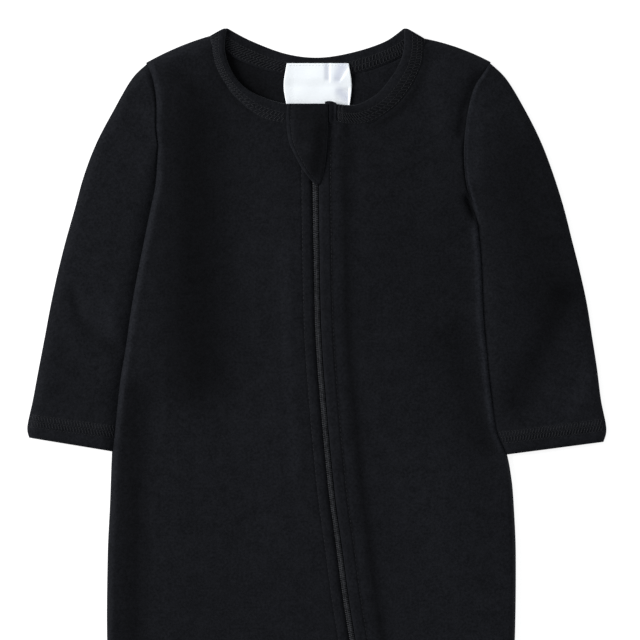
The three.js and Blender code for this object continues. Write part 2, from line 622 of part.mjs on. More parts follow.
// A rounded bar outline centred on x, y
function barOutline(x, y, width, length, radius) {
  const points = [];
  const corners = [[1, 1], [-1, 1], [-1, -1], [1, -1]];
  corners.forEach(([sx, sy], quarter) => {
    for (let i = 0; i <= 4; i += 1) {
      const angle = (quarter + i / 4) * Math.PI / 2;
      const cx = x + sx * (width / 2 - radius);
      const cy = y + sy * (length / 2 - radius);
      points.push([cx + radius * Math.cos(angle), cy + radius * Math.sin(angle)]);
    }
  });
  return points;
}

const SLIDER_X = zipX(SLIDER.y);
const SLIDER_Z = COIL_TOP + SEAM_GAP;

// Slider: a plate on the coil with an arched lug
function slider() {
  const { y, width, length, lugWidth, lugLength, lugHeight } = SLIDER;
  const base = plate(barOutline(SLIDER_X, y, width, length, 2.4), SLIDER.plate, SLIDER_Z);
  const lug = new THREE.BoxGeometry(lugWidth, lugLength, lugHeight);
  lug.translate(SLIDER_X, y, SLIDER_Z + (SLIDER.plate + lugHeight) / 2);
  const tunnelHeight = lugHeight - SLIDER.plate / 2 - SLIDER.arch;
  const tunnel = new THREE.BoxGeometry(lugWidth * 2, lugLength - 2 * SLIDER.post, tunnelHeight);
  tunnel.translate(SLIDER_X, y, SLIDER_Z + SLIDER.plate + tunnelHeight / 2);
  return fromSolid(solid(base).add(solid(lug)).subtract(solid(tunnel)));
}

// Pull: a plain tab whose end bar lies under the lug, sloping down on to the coil
function pull() {
  const toVectors = (outline) => outline.map(([x, y]) => new THREE.Vector2(x, y));
  const shape = new THREE.Shape(toVectors(barOutline(0, -PULL.length / 2, PULL.width, PULL.length, 1.6)));
  const slotY = -PULL.bar - PULL.slotLength / 2;
  shape.holes.push(new THREE.Path(toVectors(barOutline(0, slotY, PULL.slotWidth, PULL.slotLength, 0.6))));
  const geometry = new THREE.ExtrudeGeometry(shape, { depth: PULL.plate, bevelEnabled: false });
  geometry.rotateX(THREE.MathUtils.degToRad(PULL.tilt));
  return geometry.translate(SLIDER_X, SLIDER.y + PULL.bar / 2, SLIDER_Z + SLIDER.plate + PULL.lift);
}

// Bottom stop: a small crimp on the coil above the ankle
function bottomStop() {
  const y = ANKLE_Y + BOTTOM_STOP.aboveAnkle;
  return plate(barOutline(zipX(y), y, BOTTOM_STOP.width, BOTTOM_STOP.length, 0.7), BOTTOM_STOP.plate, SLIDER_Z);
}

add('back', back(), clothMaterial());
add('front_left', frontLeft(), clothMaterial());
add('front_right', frontRight(), clothMaterial());
for (const half of ['left', 'right']) {
  add(`sleeve_${half}`, sleeve(half), clothMaterial());
  add(`neckband_${half}`, frontBand(half), bandMaterial());
  add(`foot_top_${half}`, footTop(half), clothMaterial());
  add(`foot_sole_${half}`, sole(half), clothMaterial());
}
add('neckband_back', backBand(), bandMaterial());
add('chin_guard', guard(), clothMaterial());
const tape = (from, to) => zipStrip(from, to, TAPE_TOP_Y, ANKLE_Y, TAPE_TOP, TAPE_CLOTH);
add('zip_tape_left', tape(-TAPE_REACH, -TAPE_SPLIT), tapeMaterial());
add('zip_tape_right', tape(TAPE_SPLIT, TAPE_REACH), tapeMaterial());
add('zip_coil', zipStrip(-COIL_HALF, COIL_HALF, ZIP_TOP_Y, ANKLE_Y + 4, COIL_TOP, COIL_HEIGHT), coilMaterial());
add('zip_slider', slider(), metalMaterial());
add('zip_pull', pull(), metalMaterial());
add('zip_bottom_stop', bottomStop(), metalMaterial());
add('label', label(), labelMaterial());

export default suit;
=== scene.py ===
import logging
import math
from dataclasses import dataclass
from enum import Enum
from typing import Callable, Iterable, Sequence

import bpy
import numpy as np
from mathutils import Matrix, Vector


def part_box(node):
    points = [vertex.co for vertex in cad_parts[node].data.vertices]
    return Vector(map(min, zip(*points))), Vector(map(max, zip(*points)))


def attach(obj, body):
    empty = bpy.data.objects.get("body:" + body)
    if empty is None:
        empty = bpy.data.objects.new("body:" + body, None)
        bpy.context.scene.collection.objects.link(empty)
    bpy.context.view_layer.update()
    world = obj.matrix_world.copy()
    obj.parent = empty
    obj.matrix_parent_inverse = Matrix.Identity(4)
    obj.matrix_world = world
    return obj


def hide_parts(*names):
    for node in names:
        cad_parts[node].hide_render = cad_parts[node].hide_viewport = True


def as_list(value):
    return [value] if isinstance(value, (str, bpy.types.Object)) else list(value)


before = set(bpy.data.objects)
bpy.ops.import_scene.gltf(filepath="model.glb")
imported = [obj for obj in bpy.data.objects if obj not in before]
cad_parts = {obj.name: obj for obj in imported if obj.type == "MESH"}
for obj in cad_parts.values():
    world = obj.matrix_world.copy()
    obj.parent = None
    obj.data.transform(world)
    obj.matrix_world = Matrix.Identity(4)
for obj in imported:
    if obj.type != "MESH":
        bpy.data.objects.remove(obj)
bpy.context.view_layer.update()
LOG = logging.getLogger("sleepsuit")

MM = 0.001
BODY = "root"

# Layers of cloth, in millimetres up from the surface
BACK_CLOTH = 1.2
FRONT_CLOTH = 1.4
SLEEVE_CLOTH = 1.3
BAND_CLOTH = 2.0
SEAM_TOP = 2.6
LOFT = 3.1

# Main levels and the zip, in millimetres
CROTCH = (-3.7, -112.0)
ANKLE_Y = -262.0
TOE_Y = -320.0
ANKLE_HALF = 33.0
PLACKET_HALF = 2.5
COIL_TOP = 5.8


class Half(Enum):
    """The viewer's left or right half of the suit."""

    LEFT = "left"
    RIGHT = "right"

    @property
    def sign(self) -> int:
        """-1 for the left half and 1 for the right."""
        return -1 if self is Half.LEFT else 1


def ease(start: float, end: float, value: np.ndarray) -> np.ndarray:
    """Step softly from 0 at start to 1 at end.

    Args:
        start: the value at which the step begins.
        end: the value at which it is complete.
        value: where it is read.

    Returns:
        The step's height, from 0 to 1.
    """
    t = np.clip((np.asarray(value, float) - start) / (end - start), 0, 1)
    return t * t * (3 - 2 * t)


def rise(distance: np.ndarray, reach: float = 7.0) -> np.ndarray:
    """Give the round shoulder of a cloth edge.

    Args:
        distance: how far in from the edge, in millimetres.
        reach: where the edge has levelled out.

    Returns:
        0 on the edge and 1 past the reach.
    """
    t = 1 - np.clip(np.abs(distance) / reach, 0, 1)
    return 1 - t**2.2


def bell(value: np.ndarray, middle: float, width: float) -> np.ndarray:
    """Give a soft bump, 1 where the value is at the middle and near 0 past twice the width."""
    return np.exp(-(((value - middle) / width) ** 2))


class Profile:
    """A smooth edge of the suit, given as x at a few levels of y, from the neck down."""

    def __init__(self, *rows: tuple[float, float]) -> None:
        """Keep the rows.

        Args:
            rows: (y, x) pairs with y falling.
        """
        self.y = np.array([row[0] for row in rows])
        self.x = np.array([row[1] for row in rows])

    def at(self, y: np.ndarray) -> np.ndarray:
        """Read the edge.

        Args:
            y: one level or an array of them.

        Returns:
            x at each level.
        """
        y = np.asarray(y, float)
        last = len(self.y) - 1
        i = np.clip(np.searchsorted(-self.y, -y, side="right") - 1, 0, last - 1)
        before, after = np.maximum(i - 1, 0), np.minimum(i + 2, last)
        span = self.y[i + 1] - self.y[i]
        slope_a = (self.x[i + 1] - self.x[before]) / (self.y[i + 1] - self.y[before])
        slope_b = (self.x[after] - self.x[i]) / (self.y[after] - self.y[i])
        t = np.clip((y - self.y[i]) / span, 0, 1)
        bend = t * t * (3 - 2 * t)
        leave = t * (1 - t) ** 2 * slope_a * span
        arrive = t * t * (1 - t) * slope_b * span
        return self.x[i] + (self.x[i + 1] - self.x[i]) * bend + leave - arrive


class Spline:
    """A smooth plan curve through points, read by a share of its length in points."""

    def __init__(self, *points: tuple[float, float]) -> None:
        """Keep the points.

        Args:
            points: (x, y) pairs in order.
        """
        self.points = np.array(points, float)

    def at(self, t: np.ndarray) -> np.ndarray:
        """Read the curve.

        Args:
            t: shares from 0 to 1.

        Returns:
            An array of (x, y) rows.
        """
        last = len(self.points) - 1
        place = np.atleast_1d(np.asarray(t, float)) * last
        i = np.clip(np.floor(place).astype(int), 0, last - 1)
        w = (place - i)[:, None]
        p0, p1 = self.points[np.maximum(i - 1, 0)], self.points[i]
        p2, p3 = self.points[i + 1], self.points[np.minimum(i + 2, last)]
        v0, v1 = (p2 - p0) / 2, (p3 - p1) / 2
        cubic = (2 * p1 - 2 * p2 + v0 + v1) * w**3
        return cubic + (3 * p2 - 3 * p1 - 2 * v0 - v1) * w**2 + v0 * w + p1

    def length(self) -> float:
        """Length of the curve in millimetres."""
        path = self.at(np.linspace(0, 1, 200))
        return float(np.linalg.norm(np.diff(path, axis=0), axis=1).sum())


@dataclass(frozen=True)
class Fold:
    """A soft trough, ridge or zone along a path of (x, y) places, in millimetres."""

    path: tuple[tuple[float, float], ...]
    width: float
    height: float

    def at(self, x: np.ndarray, y: np.ndarray) -> np.ndarray:
        """Read the fold's height.

        Args:
            x: places across.
            y: places along.

        Returns:
            Heights, below zero in a trough.
        """
        away = np.inf
        for (x0, y0), (x1, y1) in zip(self.path, self.path[1:]):
            dx, dy = x1 - x0, y1 - y0
            along = np.clip(((x - x0) * dx + (y - y0) * dy) / (dx * dx + dy * dy), 0, 1)
            away = np.minimum(away, np.hypot(x - x0 - along * dx, y - y0 - along * dy))
        return self.height * bell(away, 0, self.width)


SIDE = {
    Half.LEFT: Profile(
        (298.2, -105.4), (287.7, -101.8), (275, -99.8), (260, -100.3), (242, -99.3), (222, -100.4),
        (207, -103.5), (188, -107.3), (153, -114.1), (120, -119), (100, -122.2), (75, -124.8),
        (58, -126.5), (25, -127.8), (-5, -129.2), (-60, -129.6), (-112, -127), (-160, -121),
        (-215, -110), (-262, -101),
    ),
    Half.RIGHT: Profile(
        (298.6, 107.3), (292, 103.8), (284, 98.6), (270, 94.6), (249, 92), (235, 92), (222, 93.6),
        (211, 97), (198, 99.9), (170, 102.3), (139, 103.6), (120, 105.4), (89, 108.6), (70, 111.8),
        (57, 117), (40, 120.2), (25, 121.5), (-5, 122.8), (-60, 122.2), (-112, 119.6),
        (-160, 113.6), (-215, 102.6), (-262, 93.6),
    ),
}
UNDERARM_Y = {Half.LEFT: 242.0, Half.RIGHT: 207.0}
SHOULDER = {
    Half.LEFT: ((-105.4, 298.2), (-65.7, 314.7)),
    Half.RIGHT: ((107.3, 298.6), (66.3, 312.9)),
}
SHOULDER_BOW = {Half.LEFT: 1.4, Half.RIGHT: 1.8}
ARMHOLE_DIP = {Half.LEFT: 0.5, Half.RIGHT: 0.55}
SIDE_REACH = {Half.LEFT: 5.0, Half.RIGHT: 3.6}
ARMHOLE_LIP = {Half.LEFT: 0.14, Half.RIGHT: 0.0}
INSEAM = Profile((-112, -3.7), (-125, -11), (-160, -21), (-215, -29), (-262, -35))
ZIP = Profile(
    (273, -1.2), (223.8, -0.9), (149.4, 0.2), (120.3, 1.4), (89.3, 3.7), (58.3, 6.4), (27.3, 9.6),
    (-3.7, 13.9), (-34.7, 18), (-59.5, 22), (-109, 29.8), (-190, 42), (-262, 48),
)
BAND_FREE = {
    Half.LEFT: Spline(
        (-56.4, 319.9), (-57.7, 308.8), (-55.8, 298.8), (-50.8, 288.9), (-43.4, 281.5),
        (-32.2, 275.9), (-19.8, 272.5), (-6.8, 271.9),
    ),
    Half.RIGHT: Spline(
        (54.6, 319.9), (54.6, 309.4), (52.1, 298.8), (45.9, 288.3), (37.2, 278.4),
        (26, 272.2), (18.6, 271.6), (12.4, 272.2),
    ),
}
BAND_SEAM = {
    Half.LEFT: Spline(
        (-65.7, 314.7), (-65.1, 305), (-62.6, 296.4), (-57, 286.4), (-48.4, 275.9),
        (-34.7, 264.7), (-20.5, 261), (-6.8, 260.1),
    ),
    Half.RIGHT: Spline(
        (66.3, 312.9), (66.3, 303.2), (64.5, 294.5), (58.3, 282.1), (48.4, 270.3),
        (33.5, 261), (21.1, 259.5), (12.4, 261.6),
    ),
}
TOPSTITCH = {Half.LEFT: 8.4, Half.RIGHT: 9.4}
FACING_ENDS = {Half.LEFT: (17.0, 24.0), Half.RIGHT: (17.4, 20.6)}
FACING_LIFT = {Half.LEFT: 0.5, Half.RIGHT: 1.0}
NECK_CORNER = {Half.LEFT: (-3.6, 260.1), Half.RIGHT: (1.4, 261.3)}
BACK_FREE = Spline(
    (-56.4, 319.9), (-41.5, 311.9), (-19.8, 303.8), (0.6, 301.3),
    (21.7, 304.4), (42.2, 311.2), (54.6, 319.9),
)
BACK_SEAM = Spline(
    (-65.7, 314.7), (-52.7, 302.6), (-29.1, 293.3), (0.6, 288.9),
    (29.8, 293.3), (53.3, 302.6), (66.3, 312.9),
)
SLEEVE_FOLD = {
    Half.LEFT: Spline(
        (-106, 298.4), (-115.9, 288.3), (-127.1, 267.8), (-137, 248), (-144.5, 228.2),
        (-150, 208.3), (-155.6, 188.5), (-160.6, 168.6), (-164.9, 148.8), (-168.6, 129),
        (-172.4, 109.1), (-176.1, 89.3), (-179.5, 73), (-178.4, 66),
    ),
    Half.RIGHT: Spline(
        (107.9, 298.9), (118.6, 288.2), (130.2, 267.8), (139.5, 248), (146.9, 228.2),
        (153.1, 208.3), (158.1, 188.5), (163.1, 168.6), (167.4, 148.8), (170.5, 129),
        (173.6, 109.1), (176.1, 89.3), (179.4, 71.9), (177.6, 63.4),
    ),
}
SLEEVE_MEETS = {
    Half.LEFT: (244, 238, 230, 221, 209, 194, 178, 160, 141, 122, 102, 82, 65.5, 57.3),
    Half.RIGHT: (208, 205, 201, 195, 186, 175, 162, 147, 131, 114, 97, 79, 64, 55.4),
}
CUFF_LIFT = {Half.LEFT: 0.5, Half.RIGHT: 2.4}
GUARD_TOP, GUARD_TIP = 272.5, 223.2
GUARD_SEWN = 2.3
GUARD_LEFT = Profile(
    (272.5, -18), (264.4, -18.4), (256.7, -18.1), (248.9, -16.7), (241.2, -13.3), (233.4, -9),
    (226.4, -3.8), (223.2, -1),
)
GUARD_RIGHT = Profile(
    (272.5, 6.4), (264.4, 6.3), (256.7, 6.2), (248.9, 5.9), (241.2, 5.2), (233.4, 4.2),
    (226.4, 2.9), (223.2, 1.7),
)
LABEL_TOP, LABEL_END = 297.9, 271.0
LABEL_LEFT = Profile((297.9, -18.5), (284.5, -20.4), (272, -18.7))
LABEL_RIGHT = Profile((297.9, 19.5), (284.5, 21.3), (272, 20.1))

BODY_FOLDS = (
    Fold(((-57, 266), (-52, 104)), 20, -1.7),
    Fold(((-84, 250), (-92, 150)), 9, 0.4),
    Fold(((-21, 196), (-22, 34)), 10, 0.6),
    Fold(((-104, 92), (-106, -70)), 9, -1.1),
    Fold(((92, 190), (97, 112)), 9, -1.1),
    Fold(((80, 122), (108, 62)), 10, -1.2),
    Fold(((108, 30), (106, -30)), 10, -0.7),
    Fold(((60, 120), (70, -30)), 20, 0.6),
    Fold(((22, 240), (23, 110)), 5, -0.6),
    Fold(((23, 110), (44, -60)), 5.5, -0.8),
    Fold(((-118, -60), (-70, -92)), 10, -0.8),
    Fold(((-112, -165), (-60, -150)), 9, -0.9),
    Fold(((108, -150), (66, -172)), 9, -0.8),
    Fold(((-92, -225), (-58, -238)), 8, -0.7),
    Fold(((90, -232), (64, -222)), 8, -0.7),
    Fold(((-98, 262), (-72, 252)), 6, -0.4),
    Fold(((-78, 296), (-60, 276)), 8, -0.7),
    Fold(((68, 262), (56, 214)), 12, -0.4),
    Fold(((101, 292), (95.6, 283), (91.4, 270), (88.8, 254)), 3.3, -1.5),
    Fold(((93, 214), (97, 203)), 2.4, -2.6),
    Fold(((-114, 128), (-88, 96)), 7, -0.5),
    Fold(((34, 262), (52, 284)), 4, -0.7),
    Fold(((52, 284), (61, 300)), 4, -0.7),
    Fold(((-20, -118), (-52, -96)), 7, -0.8),
    Fold(((12, -118), (24, -84)), 6, -0.5),
)
SLEEVE_FOLDS = (
    Fold(((-151.3, 156), (-147, 140), (-137, 126.5), (-124, 119)), 3.4, -1.2),
    Fold(((-138, 150), (-126, 136)), 6, 0.6),
    Fold(((-128, 250), (-112, 236)), 6, -0.6),
    Fold(((-159, 120), (-158, 92)), 5, -0.6),
    Fold(((-158, 92), (-138, 86)), 5, -0.5),
    Fold(((-146, 196), (-122, 172)), 8, -0.4),
    Fold(((154, 148), (144, 122), (128, 88)), 10, -1.4),
    Fold(((152, 214), (156, 164)), 15, -0.6),
    Fold(((112, 238), (120, 130)), 14, 0.6),
    Fold(((104, 268), (110, 226)), 5, -0.4),
    Fold(((168, 110), (150, 84)), 7, -0.4),
)
# Painted shadow inside the neck, where the left band shades the cloth: the colour is darker by this share.
NECK_SHADOW = Fold(((-55, 306), (-49, 292), (-36, 281)), 13, -0.6)
# The back's colour: the painted shadow inside the neck, and soft zones that make it a little lighter or
# darker.
BACK_SHADOW_AND_TONE = (
    NECK_SHADOW,
    Fold(((-40, 120), (-46, -40)), 34, -0.12),
    Fold(((52, 60), (60, -150)), 30, 0.14),
    Fold(((-80, 210), (-96, 60)), 12, 0.12),
    Fold(((84, 190), (98, 20)), 12, -0.14),
)
# Painted light and shade on the fronts: darker where troughs, the armhole and the bands shade the cloth,
# lighter on ridges; heights are the shares by which the colour is lighter, below 0 darker.
BODY_LIGHT_AND_SHADE = (
    NECK_SHADOW,
    Fold(((-75, 262), (-74, 106)), 22, -0.56),
    Fold(((-114, 92), (-115, -120)), 8.5, -0.42),
    Fold(((45, 240), (62, 150)), 38, -0.1),
    Fold(((-20, 182), (-15.5, 45)), 5, 0.2),
    Fold(((84, 130), (103, 64)), 11, -0.3),
    Fold(((-88, 292), (-78, 282)), 7, -0.25),
    Fold(((-62, 322), (-90, 306)), 7, 0.25),
    Fold(((101, 292), (95.6, 283), (91.4, 270), (88.8, 254)), 3, -0.3),
    Fold(((93, 214), (97, 203)), 2.2, -0.6),
    Fold(((69, 306), (66, 293), (59, 278), (48, 266), (36, 258.5)), 2.6, -0.35),
    Fold(((76, 296), (74, 258)), 8, 0.15),
    Fold(((-30, 60), (-24, -60)), 24, 0.1),
    Fold(((70, 40), (88, -90)), 28, 0.2),
    Fold(((107, -60), (104, -140)), 9, 0.16),
)
# Painted light and shade on the sleeves: darker in their folds and over the right sleeve's upper half,
# lighter on ridges and beside the armholes.
SLEEVE_LIGHT_AND_SHADE = (
    Fold(((124, 240), (144, 162)), 22, -0.34),
    Fold(((152, 154), (140, 122), (122, 90)), 11, -0.34),
    Fold(((170, 112), (152, 80)), 11, 0.28),
    Fold(((-132, 250), (-154, 160)), 18, 0.07),
    Fold(((-151.3, 156), (-147, 140), (-137, 126.5), (-124, 119)), 2.6, -0.22),
    Fold(((-129, 148), (-126, 132)), 7, 0.3),
    Fold(((-158, 118), (-156, 92)), 4, -0.15),
    Fold(((99, 272), (97, 228)), 6, 0.35),
    Fold(((-106, 288), (-104, 262)), 5, 0.15),
)
# Painted light and shade on the neckbands: lighter by the left shoulder, darker where the bands are shaded.
BAND_LIGHT_AND_SHADE = (
    Fold(((-63, 316), (-62, 304)), 4, 0.3),
    Fold(((-51, 309), (-38, 304)), 6, -0.35),
    Fold(((-20, 298), (-8, 296)), 6, 0.2),
    Fold(((64, 314), (60, 286), (45, 269), (20, 265)), 6, -0.4),
)
# Painted light and shade on the chin guard: darker over its right part, with painted highlights along its
# left edge.
GUARD_LIGHT_AND_SHADE = (
    Fold(((3, 264), (-1, 232)), 4.5, -0.34),
    Fold(((-5, 270), (-4, 235)), 12, -0.25),
    Fold(((-8, 270), (-8, 255)), 5, -0.12),
    Fold(((-17.2, 262), (-15, 245)), 1.2, 0.3),
    Fold(((-15, 245), (-6, 229)), 1.2, 0.3),
)
# Painted shade on the label's creases: shares of the way to the satin's greyer crease colour.
LABEL_CREASE_SHADE = (
    Fold(((5.8, 297), (5.9, 289)), 1.5, 0.65),
    Fold(((15.5, 296.5), (12.4, 289)), 3.0, 0.85),
    Fold(((14.2, 280.5), (17.6, 277)), 3.0, 0.75),
)
# Painted highlight along each side of the body: its strength, and the level above which it fades.
SIDE_HIGHLIGHT = {Half.LEFT: (0.45, 400), Half.RIGHT: (1.5, 205)}
# Painted light and shade beside the zip: distance right of the zip, width, and the share by which the colour
# is lighter, below 0 for painted shade
ZIP_LIGHT_AND_SHADE = ((19.2, 2.3, -0.42), (12.0, 2.0, 0.14), (9.3, 0.9, -0.3))
RIPPLES = (
    (0.061, 0.043, 0.4, 0.16), (-0.037, 0.074, 1.9, 0.14), (0.112, -0.058, 3.1, 0.08),
    (0.083, 0.137, 5.2, 0.07), (-0.171, 0.061, 2.6, 0.045), (0.231, 0.189, 4.4, 0.03),
)


def ripple(x: np.ndarray, y: np.ndarray) -> np.ndarray:
    """Give the slight unevenness of cloth that was smoothed by hand.

    Args:
        x: places across, in millimetres.
        y: places along.

    Returns:
        Heights of a few tenths of a millimetre.
    """
    return sum(size * np.sin(fx * x + fy * y + turn) for fx, fy, turn, size in RIPPLES)


def side_x(half: Half, y: np.ndarray) -> np.ndarray:
    """Read a half's armhole and side edge at the levels y."""
    return SIDE[half].at(y)


def inseam_x(half: Half, y: np.ndarray) -> np.ndarray:
    """Read a leg's inside edge at the levels y."""
    left = INSEAM.at(y)
    return left if half is Half.LEFT else 2 * CROTCH[0] - left


def shoulder_bow(half: Half, share: np.ndarray) -> np.ndarray:
    """Give the height of the shoulder seam above its chord, at shares of the way along."""
    return SHOULDER_BOW[half] * 4 * share * (1 - share)


def openness(half: Half, x: np.ndarray, y: np.ndarray) -> np.ndarray:
    """Say how far the front has risen from its seams.

    Args:
        half: the half that the place is on.
        x: places across.
        y: places along.

    Returns:
        0 on a seam and 1 in the open.
    """
    on_side = ease(UNDERARM_Y[half] + 4, UNDERARM_Y[half] - 16, y)
    from_side = np.abs(x - side_x(half, y))
    lip = ARMHOLE_LIP[half] * bell(from_side, 3.6, 1.7)
    dip = ARMHOLE_DIP[half] + (1 - ARMHOLE_DIP[half]) * on_side
    side = 1 + (rise(from_side, SIDE_REACH[half]) - 1) * dip + lip
    tip, neck = (np.array(p) for p in SHOULDER[half])
    chord = np.linalg.norm(neck - tip)
    along = (neck - tip) / chord
    share = np.clip(((x - tip[0]) * along[0] + (y - tip[1]) * along[1]) / chord, 0, 1)
    below = np.sign(along[0]) * ((x - tip[0]) * along[1] - (y - tip[1]) * along[0])
    shoulder = rise(np.maximum(below + shoulder_bow(half, share), 0))
    inside = np.where(x < CROTCH[0], inseam_x(Half.LEFT, y), inseam_x(Half.RIGHT, y))
    seam = np.where(y < CROTCH[1], np.abs(x - inside), np.hypot(x - CROTCH[0], y - CROTCH[1]))
    return side * shoulder * rise(seam)


def placket(x: np.ndarray, y: np.ndarray) -> np.ndarray:
    """Give the raised, topstitched strip on each side of the zip.

    Args:
        x: places across.
        y: places along.

    Returns:
        Heights above the plain front.
    """
    beside = x - ZIP.at(y)
    off = np.abs(beside)
    facing_left = FACING_LIFT[Half.LEFT] * (1 - ease(*FACING_ENDS[Half.LEFT], -beside)) * ease(225, 180, y)
    facing_right = FACING_LIFT[Half.RIGHT] * (1 - ease(*FACING_ENDS[Half.RIGHT], beside))
    facing = np.where(beside < 0, facing_left, facing_right)
    sewn = off - np.where(beside < 0, TOPSTITCH[Half.LEFT], TOPSTITCH[Half.RIGHT])
    raised = 0.3 * (1 - ease(-1, 0.8, sewn))
    groove = -0.45 * bell(sewn, 0, 0.8)
    folded = -0.9 * (1 - ease(PLACKET_HALF - 0.3, PLACKET_HALF + 1.7, off))
    pucker = 0.1 * np.sin(y / 1.9) * bell(sewn, 1.5, 2.2)
    return facing + raised + groove + folded + pucker


def front_top(x: np.ndarray, y: np.ndarray) -> np.ndarray:
    """Give the height of the front's upper side.

    Args:
        x: places across, in millimetres.
        y: places along.

    Returns:
        Heights above the surface, in millimetres.
    """
    x, y = np.asarray(x, float), np.asarray(y, float)
    left = x < ZIP.at(y)
    open_left, open_right = openness(Half.LEFT, x, y), openness(Half.RIGHT, x, y)
    folds = sum(fold.at(x, y) for fold in BODY_FOLDS) + ripple(x, y)
    return SEAM_TOP + np.where(left, open_left, open_right) * (LOFT + folds + placket(x, y))


def steps(start: Sequence[float], count: int, end: Sequence[float], width: float) -> np.ndarray:
    """Place columns across a row: fixed ones beside both edges and even ones between.

    Args:
        start: distances in from the first edge, starting with 0.
        count: how many even columns stand between.
        end: distances in from the last edge, ending with 0.
        width: the row's width.

    Returns:
        Distances from the first edge.
    """
    scale = min(1.0, width / (start[-1] + end[0] + 1))
    first, last = np.array(start) * scale, width - np.array(end) * scale
    return np.concatenate([first, np.linspace(first[-1], last[0], count + 2)[1:-1], last])


def edge_light_and_shade(x: np.ndarray, y: np.ndarray) -> np.ndarray:
    """Paint highlights along the body's rolled sides, and light and shade beside the zip.

    Args:
        x: places across, in millimetres.
        y: places along.

    Returns:
        Shares by which it is lighter, below 0 where it is darker.
    """
    tone = np.zeros_like(x)
    for half, (gain, high) in SIDE_HIGHLIGHT.items():
        # Painted highlight along the rolled side.
        highlight = bell(np.abs(x - side_x(half, y)), 1.8, 2.4)
        tone += gain * highlight * ease(30, 90, y) * ease(high, high - 14, y)
    # Painted light and shade beside the zip.
    beside = x - ZIP.at(y)
    return tone + sum(share * bell(beside, away, width) for away, width, share in ZIP_LIGHT_AND_SHADE)


def armhole_highlight(x: np.ndarray, y: np.ndarray) -> np.ndarray:
    """Give the painted highlight along the right sleeve's armhole seam, as the share by which its colour is
    lighter.
    """
    return 0.9 * bell(x - side_x(Half.RIGHT, y), 0.9, 0.9) * ease(198, 210, y)


def paint_light_and_shade(piece: bpy.types.Object, zones: Sequence[Fold], *more: Callable) -> None:
    """Store painted light and shade on a piece, in its nap attribute, for its finish.

    Args:
        piece: the object.
        zones: soft zones, whose heights are shares of painted light and shade, or of the label's painted
            crease shade.
        more: functions of x and y that add to them.
    """
    place = np.empty(len(piece.data.vertices) * 3)
    piece.data.vertices.foreach_get("co", place)
    x, y, _ = place.reshape(-1, 3).T / MM
    tone = sum(zone.at(x, y) for zone in zones) + sum(give(x, y) for give in more)
    # Kept as the nap attribute, which the finishes read as painted light and shade.
    layer = piece.data.attributes.new("nap", "FLOAT", "POINT")
    layer.data.foreach_set("value", tone)


class Shell:
    """A closed sheet of cloth with a rounded rim, built from patches of points."""

    def __init__(self, thickness: float, rim: float = 0.35) -> None:
        """Start an empty shell.

        Args:
            thickness: the cloth's thickness in millimetres.
            rim: how far the rim bulges, as a share of the thickness.
        """
        self.thickness = thickness
        self.rim = rim
        self.points: list[np.ndarray] = []
        self.faces: list[list[int]] = []
        self.index: dict[tuple[int, int], int] = {}

    def _vertex(self, point: np.ndarray) -> int:
        """Give the number of a point, shared with any patch that has it already."""
        key = (round(point[0] * 500), round(point[1] * 500))
        if key not in self.index:
            self.index[key] = len(self.points)
            self.points.append(point)
        return self.index[key]

    def add(self, rows: Sequence[np.ndarray]) -> "Shell":
        """Add a patch.

        Args:
            rows: arrays of (x, y, z) points, running to +X in a row and to -Y by row.

        Returns:
            The shell itself.
        """
        grid = [[self._vertex(point) for point in row] for row in rows]
        for upper, lower in zip(grid, grid[1:]):
            for c in range(len(upper) - 1):
                face = [upper[c], lower[c], lower[c + 1], upper[c + 1]]
                distinct = list(dict.fromkeys(face))
                if len(distinct) > 2:
                    self.faces.append(distinct)
        return self

    def area(self) -> float:
        """Area of the cloth's upper side in square metres."""
        points = np.array(self.points)
        total = 0.0
        for face in self.faces:
            corners = points[face]
            spokes = corners[1:] - corners[0]
            total += np.linalg.norm(np.cross(spokes[:-1], spokes[1:]), axis=1).sum() / 2
        return total * MM * MM

    def build(self, name: str) -> bpy.types.Object:
        """Close the shell and make its object.

        Args:
            name: the piece's name.

        Returns:
            The new object, smooth, at the origin.
        """
        top = np.array(self.points)
        count = len(top)
        edges = {(f[i], f[(i + 1) % len(f)]) for f in self.faces for i in range(len(f))}
        border = sorted(e for e in edges if (e[1], e[0]) not in edges)
        outward = np.zeros((count, 2))
        for a, b in border:
            d = top[b] - top[a]
            push = np.array([d[1], -d[0]]) / max(np.hypot(d[0], d[1]), 1e-9)
            outward[a] += push
            outward[b] += push
        ring = sorted({a for a, _ in border})
        middle = {a: 2 * count + i for i, a in enumerate(ring)}
        rim = []
        for a in ring:
            push = outward[a] / max(np.linalg.norm(outward[a]), 1e-9) * self.rim * self.thickness
            rim.append(top[a] + [push[0], push[1], -self.thickness / 2])
        under = top - [0, 0, self.thickness]
        faces = self.faces + [[count + i for i in reversed(face)] for face in self.faces]
        for a, b in border:
            faces.append([b, a, middle[a], middle[b]])
            faces.append([middle[b], middle[a], count + a, count + b])
        return new_object(name, np.vstack([top, under, rim]), faces)


def new_object(name: str, points: np.ndarray, faces: Iterable[Sequence[int]]) -> bpy.types.Object:
    """Make a smooth mesh object.

    Args:
        name: the piece's name.
        points: vertices in millimetres.
        faces: vertex numbers of each face.

    Returns:
        The object, linked to the scene and riding on the suit.
    """
    mesh = bpy.data.meshes.new(name)
    mesh.from_pydata((np.asarray(points) * MM).tolist(), [], [list(f) for f in faces])
    mesh.update()
    mesh.polygons.foreach_set("use_smooth", [True] * len(mesh.polygons))
    piece = bpy.data.objects.new(name, mesh)
    bpy.context.scene.collection.objects.link(piece)
    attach(piece, BODY)
    return piece


def dress(piece: bpy.types.Object, material: bpy.types.Material, slot: str, *nodes: str) -> bpy.types.Object:
    """Give a piece its material and hide the CAD nodes that it stands for.

    Args:
        piece: the object.
        material: its material.
        slot: the record's material slot; not used.
        nodes: the CAD nodes that it replaces.

    Returns:
        The piece.
    """
    piece.data.materials.clear()
    piece.data.materials.append(material)
    if nodes:
        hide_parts(*nodes)
    return piece


